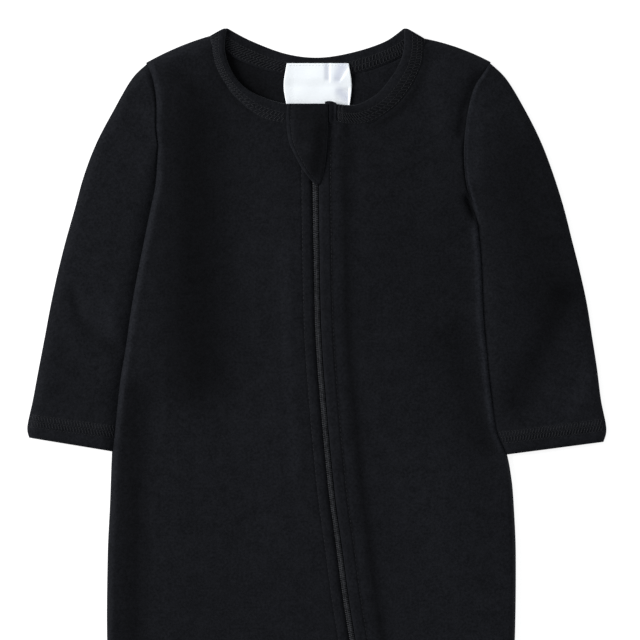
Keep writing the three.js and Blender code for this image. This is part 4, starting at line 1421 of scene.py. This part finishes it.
@dataclass
class Neck:
    """The neckband, the chin guard and the label, in millimetres."""

    band_rows: int = 70
    corner: float = 2.6
    band_top: float = 6.2
    shoulder_top: float = 2 * BAND_CLOTH + 0.8
    guard_cloth: float = 1.5
    label_cloth: float = 0.6

    def band_level(self, half: Half, y: np.ndarray) -> np.ndarray:
        """Height of a front band before its crown, at the levels y."""
        away = rise((BAND_FREE[half].points[0][1] - y) / 2, 9)
        return self.shoulder_top + (self.band_top - self.shoulder_top) * away

    @staticmethod
    def crown(across: np.ndarray) -> np.ndarray:
        """Drop of a band's surface towards its edges, at shares across it."""
        return 0.75 * np.abs(2 * across - 1) ** 3.2

    def on_band(self, half: Half, t: np.ndarray, across: float) -> np.ndarray:
        """Place points on a front band.

        Args:
            half: which band.
            t: shares along it, from the shoulder.
            across: share from the seam to the free edge; below 0 lies on the front panel.

        Returns:
            (x, y, z) rows.
        """
        seam, free = BAND_SEAM[half].at(t), BAND_FREE[half].at(t)
        kept = self._kept(t * BAND_FREE[half].length(), free - seam)
        plan = seam + (free - seam) * across * kept
        if across < 0:
            return np.column_stack([plan, front_top(plan[:, 0], plan[:, 1])])
        level = self.band_level(half, plan[:, 1]) - self.crown(np.array(across))
        return np.column_stack([plan, level + self._wave(plan)])

    def _kept(self, distance: np.ndarray, across: np.ndarray) -> np.ndarray:
        """Share of a band's width that its rounded corner leaves, as a column.

        Args:
            distance: how far each row is from the band's end.
            across: the vector over the band at each row.

        Returns:
            The shares, 1 away from the band's ends.
        """
        near = self.corner - np.minimum(distance, self.corner)
        gone = self.corner - np.sqrt(self.corner**2 - near**2)
        return (1 - gone / np.linalg.norm(across, axis=-1))[:, None]

    @staticmethod
    def _wave(plan: np.ndarray) -> np.ndarray:
        """Slight waviness of a stretched band."""
        return 0.12 * np.sin(plan[:, 0] * 0.33) * np.cos(plan[:, 1] * 0.27)

    def _band(self, half: Half) -> Shell:
        """Lay out one front band, from the shoulder to the zip."""
        rows = []
        shares = (1 - np.cos(np.linspace(0, 1, 13) * math.pi)) / 2
        corner = [0, 0.0012, 0.004, 0.008, 0.013, 0.019, 0.026]
        for t in np.concatenate([corner, np.linspace(0.034, 1, self.band_rows)]):
            row = np.vstack([self.on_band(half, np.array([t]), a) for a in shares])
            rows.append(row if half is Half.LEFT else row[::-1])
        return Shell(BAND_CLOTH, rim=0.3).add(rows)

    def _back_band(self) -> Shell:
        """Lay out the band behind the neck."""
        rows = []
        shares = (1 - np.cos(np.linspace(0, 1, 11) * math.pi)) / 2
        corner = np.array([0, 0.0012, 0.004, 0.008, 0.013, 0.019])
        t = np.concatenate([corner, np.linspace(0.026, 0.974, 80), 1 - corner[::-1]])
        across = BACK_FREE.at(t) - BACK_SEAM.at(t)
        kept = self._kept(np.minimum(t, 1 - t) * BACK_FREE.length(), across)
        for a in shares[::-1]:
            plan = BACK_SEAM.at(t) + across * kept * a
            lift = BAND_CLOTH - 0.5 * np.abs(2 * a - 1) ** 3
            rows.append(np.column_stack([plan, np.full(len(t), lift)]))
        return Shell(BAND_CLOTH - 0.5, rim=0.3).add(rows)

    @staticmethod
    def guard_top(x: np.ndarray, y: np.ndarray) -> np.ndarray:
        """Height of the chin guard, which bulges over the slider and its pull."""
        over = bell(x - ZIP.at(y), -2.5, 9.5)
        slider = 2.5 * ease(266, 257, y) * ease(226, 246, y)
        tip = 0.7 * over * ease(226, 232, y)
        on_band = 0.5 * ease(257, 261, y)
        turned = -0.5 * bell(x - GUARD_LEFT.at(y), GUARD_SEWN, 0.7)
        dent = -0.5 * bell(x, -8, 3.5) * bell(y, 250, 9)
        return 7.5 + on_band + over * slider + tip + turned + dent

    def _guard(self) -> Shell:
        """Lay out the chin guard."""
        rows = []
        edge = np.array([0, 0.3, 0.7, 1.2, 1.7, 2.1, 2.5, 3])
        for t in np.linspace(0, 1, 64):
            y = GUARD_TOP + (GUARD_TIP - GUARD_TOP) * (1 - (1 - t) ** 1.25)
            left, right = float(GUARD_LEFT.at(y)), float(GUARD_RIGHT.at(y))
            x = left + steps(edge, 16, edge[:4][::-1], right - left)
            level = np.full(len(x), y)
            drop = 0.35 * (1 - rise(x - left, 1.6)) + 0.35 * (1 - rise(right - x, 1.6))
            rows.append(np.column_stack([x, level, self.guard_top(x, level) - drop]))
        return Shell(self.guard_cloth, rim=0.3).add(rows)

    @staticmethod
    def label_top(x: np.ndarray, y: np.ndarray) -> np.ndarray:
        """Height of the label, which lies over the band's seam and is creased at one side."""

        def fall(start: float, end: np.ndarray, depth: float) -> np.ndarray:
            """Slope down from start to end across the label, and sharply back up."""
            return -depth * np.clip((x - start) / (end - start), 0, 1) * (1 - ease(0, 1.2, x - end))

        step = 2.75 + 0.8 * ease(283, 290, y)
        slant_end = np.maximum(19.9 - 0.63 * (296.5 - y), 12)
        upper = (fall(4.2, 7.4, 0.45) + fall(10.6, slant_end, 0.5)) * ease(285.5, 288.5, y)
        lower = fall(11.2, 19.4, 0.85) * ease(284, 281, y)
        curl = 0.35 * ease(-14, -20, x)
        return step + upper + lower + curl + 0.1 * np.sin(x * 0.34 + 1) * np.cos(y * 0.3)

    def _label(self) -> Shell:
        """Lay out the label."""
        rows = []
        for y in np.linspace(LABEL_TOP, LABEL_END, 46):
            x = np.linspace(float(LABEL_LEFT.at(y)), float(LABEL_RIGHT.at(y)), 91)
            level = np.full(len(x), y)
            rows.append(np.column_stack([x, level, self.label_top(x, level)]))
        return Shell(self.label_cloth, rim=0.4).add(rows)

    def dress(self, finishes: Finishes) -> list[bpy.types.Object]:
        """Build the neck's pieces and dress them.

        Args:
            finishes: the suit's materials.

        Returns:
            The pieces.
        """
        pieces = []
        bands = (
            ("neckband_back", self._back_band(), (0.145, 0.014), ["cloth_back"]),
            ("neckband_left", self._band(Half.LEFT), (0.085, 0.014), ["cloth_front_left"]),
            ("neckband_right", self._band(Half.RIGHT), (0.085, 0.014), ["cloth_front_right"]),
        )
        for node, shell, flat, rests_on in bands:
            piece = shell.build(f"cloth_{node}")
            # Paint light and shade into the band's colour.
            paint_light_and_shade(piece, BAND_LIGHT_AND_SHADE)
            dress(piece, finishes.band, "band", node)
            area = min(shell.area(), flat[0] * flat[1])
            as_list(rests_on)
            pieces.append(piece)
        guard = self._guard()
        piece = dress(guard.build("cloth_chin_guard"), finishes.guard, "jersey", "chin_guard")
        # Paint light and shade into the guard's colour.
        paint_light_and_shade(piece, GUARD_LIGHT_AND_SHADE)
        guard.area()
        label = self._label()
        tag = dress(label.build("cloth_label"), finishes.satin, "label_satin", "label")
        # Paint shade into the label's colour at its creases.
        paint_light_and_shade(tag, LABEL_CREASE_SHADE)
        label.area()
        LOG.info("neck: three bands, guard and label")
        return [*pieces, piece, tag]


def template(
    segments: int, rings: int, size: tuple[float, float, float]
) -> tuple[np.ndarray, list[list[int]]]:
    """Model one small rounded bar to be repeated.

    Args:
        segments: sides round its length.
        rings: rings from end to end.
        size: length, width and height in millimetres.

    Returns:
        Its points in millimetres about its middle, along X, and its faces.
    """
    bpy.ops.object.select_all(action="DESELECT")
    bpy.ops.mesh.primitive_uv_sphere_add(segments=segments, ring_count=rings, radius=0.5)
    bar = bpy.context.object
    bpy.ops.object.mode_set(mode="EDIT")
    bpy.ops.transform.rotate(value=math.pi / 2, orient_axis="Y", center_override=(0, 0, 0))
    bpy.ops.object.mode_set(mode="OBJECT")
    points = np.array([v.co for v in bar.data.vertices]) * size
    x = points[:, 0] / size[0] * 2
    points[:, 0] = np.sign(x) * np.abs(x) ** 0.75 * size[0] / 2
    faces = [list(p.vertices) for p in bar.data.polygons]
    mesh = bar.data
    bpy.data.objects.remove(bar)
    bpy.data.meshes.remove(mesh)
    return points, faces


def repeat(
    name: str, bar: tuple[np.ndarray, list[list[int]]], starts: np.ndarray, ends: np.ndarray
) -> bpy.types.Object:
    """Join copies of a bar, each laid between two points, into one mesh.

    Args:
        name: the piece's name.
        bar: the template's points and faces.
        starts: (x, y, z) rows where each copy begins.
        ends: where each ends.

    Returns:
        The joined object.
    """
    shape, faces = bar
    along = ends - starts
    long = np.linalg.norm(along, axis=1)[:, None]
    u = along / long
    side = np.column_stack([-u[:, 1], u[:, 0], np.zeros(len(u))])
    side /= np.linalg.norm(side, axis=1)[:, None]
    up = np.cross(u, side)
    stretch = shape[:, 0] / np.ptp(shape[:, 0])
    points = (
        (starts + ends)[:, None, :] / 2
        + (long * stretch[None, :])[..., None] * u[:, None, :]
        + shape[None, :, 1, None] * side[:, None, :]
        + shape[None, :, 2, None] * up[:, None, :]
    )
    all_faces = []
    for k in range(len(starts)):
        shift = k * len(shape)
        all_faces.extend([[shift + i for i in face] for face in faces])
    return new_object(name, points.reshape(-1, 3), all_faces)


def pace(path: np.ndarray, pitch: float, share: float) -> tuple[np.ndarray, np.ndarray]:
    """Walk a path in stitches.

    Args:
        path: (x, y, z) rows.
        pitch: millimetres from stitch to stitch.
        share: how much of the pitch each stitch covers.

    Returns:
        The stitches' starts and ends.
    """
    run = np.concatenate([[0], np.cumsum(np.linalg.norm(np.diff(path, axis=0), axis=1))])
    begin = np.arange(0, run[-1] - pitch, pitch)
    starts = np.column_stack([np.interp(begin, run, path[:, i]) for i in range(3)])
    ends = np.column_stack([np.interp(begin + pitch * share, run, path[:, i]) for i in range(3)])
    return starts, ends


@dataclass
class Stitching:
    """All the visible sewing, in millimetres."""

    pitch: float = 2.7
    fine_pitch: float = 2.0
    hem_pitch: float = 1.8
    ladder_pitch: float = 2.1
    cover: float = 0.8
    sunk: float = 0.02
    thread_size: tuple[float, float] = (0.48, 0.36)
    left_rows: tuple[float, ...] = (0.04, 0.3, 0.56)
    right_rows: tuple[float, ...] = (0.12, 0.36, 0.62)
    back_rows: tuple[float, ...] = (0.1, 0.36, 0.62)
    tacks: int = 11
    tack_x: tuple[float, float] = (12.9, 15.1)
    tack_y: tuple[float, float] = (270.8, 262.2)
    tack_level: float = 6.3
    tack_lean: tuple[float, float] = (1.5, 1.1)

    def _row(self, name: str, paths: Sequence[np.ndarray], pitch: float | None = None) -> bpy.types.Object:
        """Sew rows of plain stitches along paths."""
        pairs = [pace(path - [0, 0, self.sunk], pitch or self.pitch, self.cover) for path in paths]
        starts = np.vstack([p[0] for p in pairs])
        ends = np.vstack([p[1] for p in pairs])
        return repeat(name, self.thread, starts, ends)

    def _along_zip(self, offset: float) -> np.ndarray:
        """Path beside the zip at an offset from its middle."""
        y = np.linspace(259 if offset < 0 else 260.5, ANKLE_Y + 1, 700)
        x = ZIP.at(y) + offset
        return np.column_stack([x, y, front_top(x, y)])

    def _ladder(self, name: str, rows: Sequence[np.ndarray], pitch: float) -> bpy.types.Object:
        """Sew a wide coverstitch: rows of stitches with slanted threads between them.

        Args:
            name: the piece's name.
            rows: (x, y, z) paths side by side, each with as many points.
            pitch: millimetres from stitch to stitch.

        Returns:
            The sewing's object.
        """
        lift = np.array([0, 0, 0.16])
        count = int(np.linalg.norm(np.diff(rows[0], axis=0), axis=1).sum() / pitch)
        index = np.arange(len(rows[0]))
        place = np.linspace(0, index[-1], count)
        knots = [np.column_stack([np.interp(place, index, row[:, i]) for i in range(3)]) for row in rows]
        starts = [knot[:-1] for knot in knots]
        ends = [knot[:-1] + (knot[1:] - knot[:-1]) * self.cover for knot in knots]
        for one, other in zip(knots, knots[1:]):
            starts.append(one[:-1] + lift)
            ends.append(other[1:] + lift)
        return repeat(name, self.thread, np.vstack(starts), np.vstack(ends))

    def _neck_ladders(self, neck: Neck) -> list[bpy.types.Object]:
        """Sew the coverstitches round the neck.

        Args:
            neck: the neck, for its bands' places.

        Returns:
            The left, the right and the back band's stitches.
        """
        spans = ((0.015, 0.86), (0.02, 0.985), (0.03, 0.97))
        left, right, back = (np.linspace(*span, 300) for span in spans)
        behind = []
        for across in self.back_rows:
            plan = BACK_SEAM.at(back) + (BACK_FREE.at(back) - BACK_SEAM.at(back)) * across
            behind.append(np.column_stack([plan, np.full(len(back), BAND_CLOTH + 0.02)]))
        ladders = {
            "left": [neck.on_band(Half.LEFT, left, across) for across in self.left_rows],
            "right": [neck.on_band(Half.RIGHT, right, across) for across in self.right_rows],
            "back": behind,
        }
        return [
            self._ladder(f"stitch_neck_{part}", rows, self.ladder_pitch) for part, rows in ladders.items()
        ]

    def _guard_row(self) -> bpy.types.Object:
        """Sew the chin guard's left edge."""
        y = np.linspace(GUARD_TOP - 1, GUARD_TIP + 2.4, 200)
        x = GUARD_LEFT.at(y) + GUARD_SEWN
        return self._row("stitch_guard", [np.column_stack([x, y, Neck.guard_top(x, y)])], self.fine_pitch)

    def _bartack(self) -> bpy.types.Object:
        """Sew two short columns of slanted stitches by the zip's upper end."""
        y = np.linspace(*self.tack_y, self.tacks)
        level = np.full(self.tacks, self.tack_level)
        starts = np.vstack([np.column_stack([np.full(self.tacks, x), y, level]) for x in self.tack_x])
        return repeat("stitch_bartack", self.thread, starts, starts + [*self.tack_lean, 0])

    def _ankle_row(self, half: Half) -> bpy.types.Object:
        """Sew the row above one ankle's seam."""
        middle, reach = Foot(half).centre(), ANKLE_HALF - 3
        x = np.linspace(middle - reach, middle + reach, 120)
        y = np.full(len(x), ANKLE_Y + 2.2)
        return self._row(f"stitch_ankle_{half.value}", [np.column_stack([x, y, front_top(x, y)])])

    def _label_row(self) -> bpy.types.Object:
        """Sew the label's upper edge."""
        x = np.linspace(-17.6, 18.6, 100)
        y = np.full(len(x), LABEL_TOP - 1.1)
        path = np.column_stack([x, y, Neck.label_top(x, y) + 0.05])
        return self._row("stitch_label", [path], self.fine_pitch)

    def dress(self, finishes: Finishes, neck: Neck, sleeves: Sequence[Sleeve]) -> list[bpy.types.Object]:
        """Sew every row.

        Args:
            finishes: the suit's materials.
            neck: the neck, for its bands' places.
            sleeves: both sleeves, for their hems.

        Returns:
            The pieces.
        """
        self.thread = template(6, 5, (self.pitch * self.cover, *self.thread_size))
        by_zip = self._row("stitch_zip", [self._along_zip(half.sign * TOPSTITCH[half]) for half in Half])
        cuffs = [
            self._ladder(f"stitch_cuff_{sleeve.half.value}", sleeve.stitch_rows(), self.hem_pitch)
            for sleeve in sleeves
        ]
        left, right, back = self._neck_ladders(neck)
        dull = [by_zip, *cuffs, right, self._guard_row(), self._bartack()]
        plain = [left, back, *(self._ankle_row(half) for half in Half)]
        pieces = []
        for sewn, finish, slot in (
            (plain, finishes.thread, "band"),
            (dull, finishes.dull_thread, "band"),
            ([self._label_row()], finishes.white_thread, "label_satin"),
        ):
            pieces.extend(dress(piece, finish, slot) for piece in sewn)
        LOG.info("sewing: %d pieces", len(pieces))
        return pieces


@dataclass
class Zip:
    """The zip: two tapes, the coil, the slider with its pull, and the bottom stop, in millimetres."""

    pitch: float = 1.15
    tape_top: float = 3.1
    tape_cloth: float = 0.8
    reach: float = 11.0
    flat: tuple[float, float] = (0.012, 0.55)
    plate: float = 1.2
    tab: float = 1.0
    waist: float = 0.7

    def _tape(self, half: Half) -> Shell:
        """Lay out one tape under the front's edge."""
        rows = []
        inner, outer = half.sign * 0.1, half.sign * self.reach
        for y in np.linspace(271.6, ANKLE_Y, 200):
            x = float(ZIP.at(y)) + np.linspace(*sorted((inner, outer)), 9)
            lift = 0.9 * ease(255, 262, np.full(9, y))
            rows.append(np.column_stack([x, np.full(9, y), self.tape_top + lift]))
        return Shell(self.tape_cloth).add(rows)

    def _tape_end(self) -> Shell:
        """Lay out the right tape's end, folded up between the guard and the band."""
        rows = []
        x = np.linspace(5.2, 11.9, 18)
        end = 274.3 - 0.07 * (x - 7.6) ** 2
        for t in np.linspace(0, 1, 26):
            y = end + (253.5 - end) * t
            fold = 0.7 * bell(x, 8.0, 0.9) - 0.5 * bell(x, 10.3, 0.8)
            level = 4.7 + 1.9 * ease(254, 262, y) + fold * ease(258, 263, y) - 0.5 * ease(end - 1.2, end, y)
            rows.append(np.column_stack([x, y, level]))
        return Shell(0.9).add(rows)

    def _coil(self) -> bpy.types.Object:
        """Wind both sides of the coil, each turn hooked between two of the other's."""
        y = np.linspace(262, ANKLE_Y + 4, 1600)
        x = ZIP.at(y)
        run = np.concatenate([[0], np.cumsum(np.hypot(np.diff(x), np.diff(y)))])
        starts, ends = [], []
        for side, shift in ((-1, 0.0), (1, 0.5)):
            place = np.arange(0.5 + shift, run[-1] / self.pitch - 1) * self.pitch
            cx, cy = np.interp(place, run, x), np.interp(place, run, y)
            out = np.column_stack([cx + side * 1.85, cy + 0.16, np.full(len(cx), COIL_TOP - 0.72)])
            hook = np.column_stack([cx - side * 0.45, cy - 0.16, np.full(len(cx), COIL_TOP - 0.42)])
            starts.append(out)
            ends.append(hook)
        bar = template(8, 6, (2.4, 0.98, 0.95))
        return repeat("zip_coil_turns", bar, np.vstack(starts), np.vstack(ends))

    def _bed(self) -> Shell:
        """Lay out the core that the coil's turns stand on."""
        rows = []
        for y in np.linspace(262, ANKLE_Y + 4, 200):
            x = float(ZIP.at(y)) + np.linspace(-2.15, 2.15, 7)
            drop = 0.5 * np.abs(np.linspace(-1, 1, 7)) ** 3
            rows.append(np.column_stack([x, np.full(7, y), COIL_TOP - 0.8 - drop]))
        return Shell(1.0).add(rows)

    @staticmethod
    def _block(name: str, centre: Sequence[float], size: Sequence[float]) -> bpy.types.Object:
        """Add a plain block.

        Args:
            name: the object's name.
            centre: its middle, in metres.
            size: its size along X, Y and Z, in metres.

        Returns:
            The block, with its size applied.
        """
        bpy.ops.object.select_all(action="DESELECT")
        bpy.ops.mesh.primitive_cube_add(size=1, location=centre)
        block = bpy.context.object
        block.name = name
        block.scale = size
        bpy.ops.object.transform_apply(location=True, rotation=True, scale=True)
        return block

    def _slider(self) -> bpy.types.Object:
        """Model the slider: a waisted plate with an arched lug."""
        low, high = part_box("zip_slider")
        centre, size, thick = (low + high) / 2, high - low, self.plate * MM
        middle = (centre.x, centre.y, low.z + thick / 2)
        plate = self._block("zip_slider_body", middle, (size.x, size.y, thick))
        for vertex in plate.data.vertices:
            if vertex.co.y < centre.y:
                vertex.co.x = centre.x + (vertex.co.x - centre.x) * self.waist
        self._soften(plate, 0.5 * MM)
        bpy.ops.object.select_all(action="DESELECT")
        bpy.ops.mesh.primitive_torus_add(
            major_radius=2.0 * MM, minor_radius=0.5 * MM, major_segments=28, minor_segments=10,
            location=(centre.x, centre.y, low.z + thick), rotation=(0, math.pi / 2, 0),
        )
        bpy.ops.object.transform_apply(location=True, rotation=True, scale=True)
        plate.select_set(True)
        bpy.context.view_layer.objects.active = plate
        bpy.ops.object.join()
        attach(plate, BODY)
        return plate

    @staticmethod
    def _soften(piece: bpy.types.Object, width: float) -> None:
        """Round a piece's edges and smooth it.

        Args:
            piece: the object, which becomes active.
            width: the bevel's width in metres.
        """
        bpy.context.view_layer.objects.active = piece
        piece.select_set(True)
        bevel = piece.modifiers.new("edge", "BEVEL")
        bevel.width = width
        bevel.segments = 4
        bpy.ops.object.modifier_apply(modifier=bevel.name)
        bpy.ops.object.shade_smooth_by_angle(angle=math.radians(40))

    def _pull(self) -> bpy.types.Object:
        """Model the pull: a slim tab that slopes down on to the coil."""
        low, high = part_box("zip_pull")
        centre, size, thick = (low + high) / 2, high - low, self.tab * MM
        tab = self._block("zip_pull_tab", centre, (size.x, size.y, thick))
        bpy.ops.object.mode_set(mode="EDIT")
        bpy.ops.mesh.select_all(action="SELECT")
        tilt = -math.asin((size.z - thick) / size.y)
        bpy.ops.transform.rotate(value=tilt, orient_axis="X", center_override=tuple(centre))
        bpy.ops.object.mode_set(mode="OBJECT")
        self._soften(tab, 0.4 * MM)
        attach(tab, BODY)
        return tab

    def _stop(self) -> bpy.types.Object:
        """Model the bottom stop: a crimped bar across the coil."""
        low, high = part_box("zip_bottom_stop")
        stop = self._block("zip_stop_crimp", (low + high) / 2, high - low)
        self._soften(stop, 0.5 * MM)
        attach(stop, BODY)
        return stop

    def dress(self, finishes: Finishes) -> list[bpy.types.Object]:
        """Build the zip and dress it.

        Args:
            finishes: the suit's materials.

        Returns:
            The pieces.
        """
        pieces = []
        for half in Half:
            shell = self._tape(half)
            tape = dress(shell.build(f"cloth_zip_tape_{half.value}"), finishes.tape, "zip_tape",
                         f"zip_tape_{half.value}")
            area = min(shell.area(), self.flat[0] * self.flat[1])
            pieces.append(tape)
        end = dress(self._tape_end().build("cloth_zip_tape_end"), finishes.guard, "zip_tape")
        pieces.append(end)
        pieces.append(dress(self._coil(), finishes.nylon, "zip_coil", "zip_coil"))
        pieces.append(dress(self._bed().build("zip_coil_core"), finishes.tape, "zip_tape"))
        for piece, node in (
            (self._slider(), "zip_slider"),
            (self._pull(), "zip_pull"),
            (self._stop(), "zip_bottom_stop"),
        ):
            pieces.append(dress(piece, finishes.metal, "zip_metal", node))
        LOG.info("zip: %d pieces", len(pieces))
        return pieces


@dataclass(frozen=True)
class Studio:
    """Pale floor, soft light and the camera straight above, in metres."""

    view: float = 0.397
    centre: tuple[float, float] = (0.0019, 0.139)
    height: float = 3.0
    sensor: float = 36.0
    key: float = 52.0
    sky: float = 0.42
    glow: float = 0.82
    fill: float = 16.0

    def camera(self) -> None:
        """Set the camera above the suit, framed on its upper part."""
        data = bpy.data.cameras.new("camera")
        data.sensor_width = self.sensor
        data.lens = self.sensor * self.height / self.view
        camera = bpy.data.objects.new("camera", data)
        camera.location = (*self.centre, self.height)
        bpy.context.scene.collection.objects.link(camera)
        bpy.context.scene.camera = camera

    def _light(self, name: str, place: tuple[float, float, float], size: float, power: float) -> None:
        """Hang a soft square light that looks at the suit's middle."""
        data = bpy.data.lights.new(name, "AREA")
        data.shape = "SQUARE"
        data.size = size
        data.energy = power
        light = bpy.data.objects.new(name, data)
        light.location = place
        aim = Vector((*self.centre, 0)) - Vector(place)
        light.rotation_euler = aim.to_track_quat("-Z", "Y").to_euler()
        light.visible_camera = False
        bpy.context.scene.collection.objects.link(light)

    def _floor(self) -> None:
        """Lay the pale floor, a light table that glows a little."""
        bpy.ops.object.select_all(action="DESELECT")
        bpy.ops.mesh.primitive_plane_add(size=12, location=(0, 0, -0.2 * MM))
        floor = bpy.context.object
        floor.name = "floor"
        bpy.ops.object.transform_apply(location=True, rotation=True, scale=True)
        g = Graph("pale floor")
        grain = g.add("TexNoise", {"Vector": g.place(), "Scale": 3.0, "Detail": 2.0})
        tone = g.add("MapRange", {"Value": grain.outputs["Fac"], "To Min": 0.39, "To Max": 0.41})
        floor.data.materials.append(
            g.surface(
                Base_Color=tone.outputs[0], Roughness=0.9, Specular_IOR_Level=0.1,
                Emission_Color=(1, 1, 1, 1), Emission_Strength=self.glow,
            )
        )

    def build(self) -> None:
        """Build the floor, the lights, the sky and the camera."""
        self._floor()
        self._light("key", (-1.55, 0.65, 0.95), 0.8, self.key)
        self._light("fill", (1.8, 0.3, 0.24), 0.8, self.fill)
        bpy.context.scene.view_settings.view_transform = "Standard"
        world = bpy.data.worlds.new("soft sky")
        world.use_nodes = True
        background = world.node_tree.nodes["Background"]
        background.inputs["Color"].default_value = (0.96, 0.98, 1, 1)
        background.inputs["Strength"].default_value = self.sky
        bpy.context.scene.world = world
        self.camera()
        LOG.info("studio: floor, light and the camera")


def main() -> None:
    """Build the suit's parts in order and dress them."""
    logging.basicConfig(level=logging.INFO, format="%(name)s: %(message)s")
    finishes = Finishes.make()
    neck = Neck()
    sleeves = [Sleeve(half) for half in Half]
    Panels().dress(finishes)
    for half in Half:
        Foot(half).dress(finishes)
    for sleeve in sleeves:
        sleeve.dress(finishes)
    neck.dress(finishes)
    Zip().dress(finishes)
    Stitching().dress(finishes, neck, sleeves)
    Studio().build()


if __name__ == "__main__":
    main()
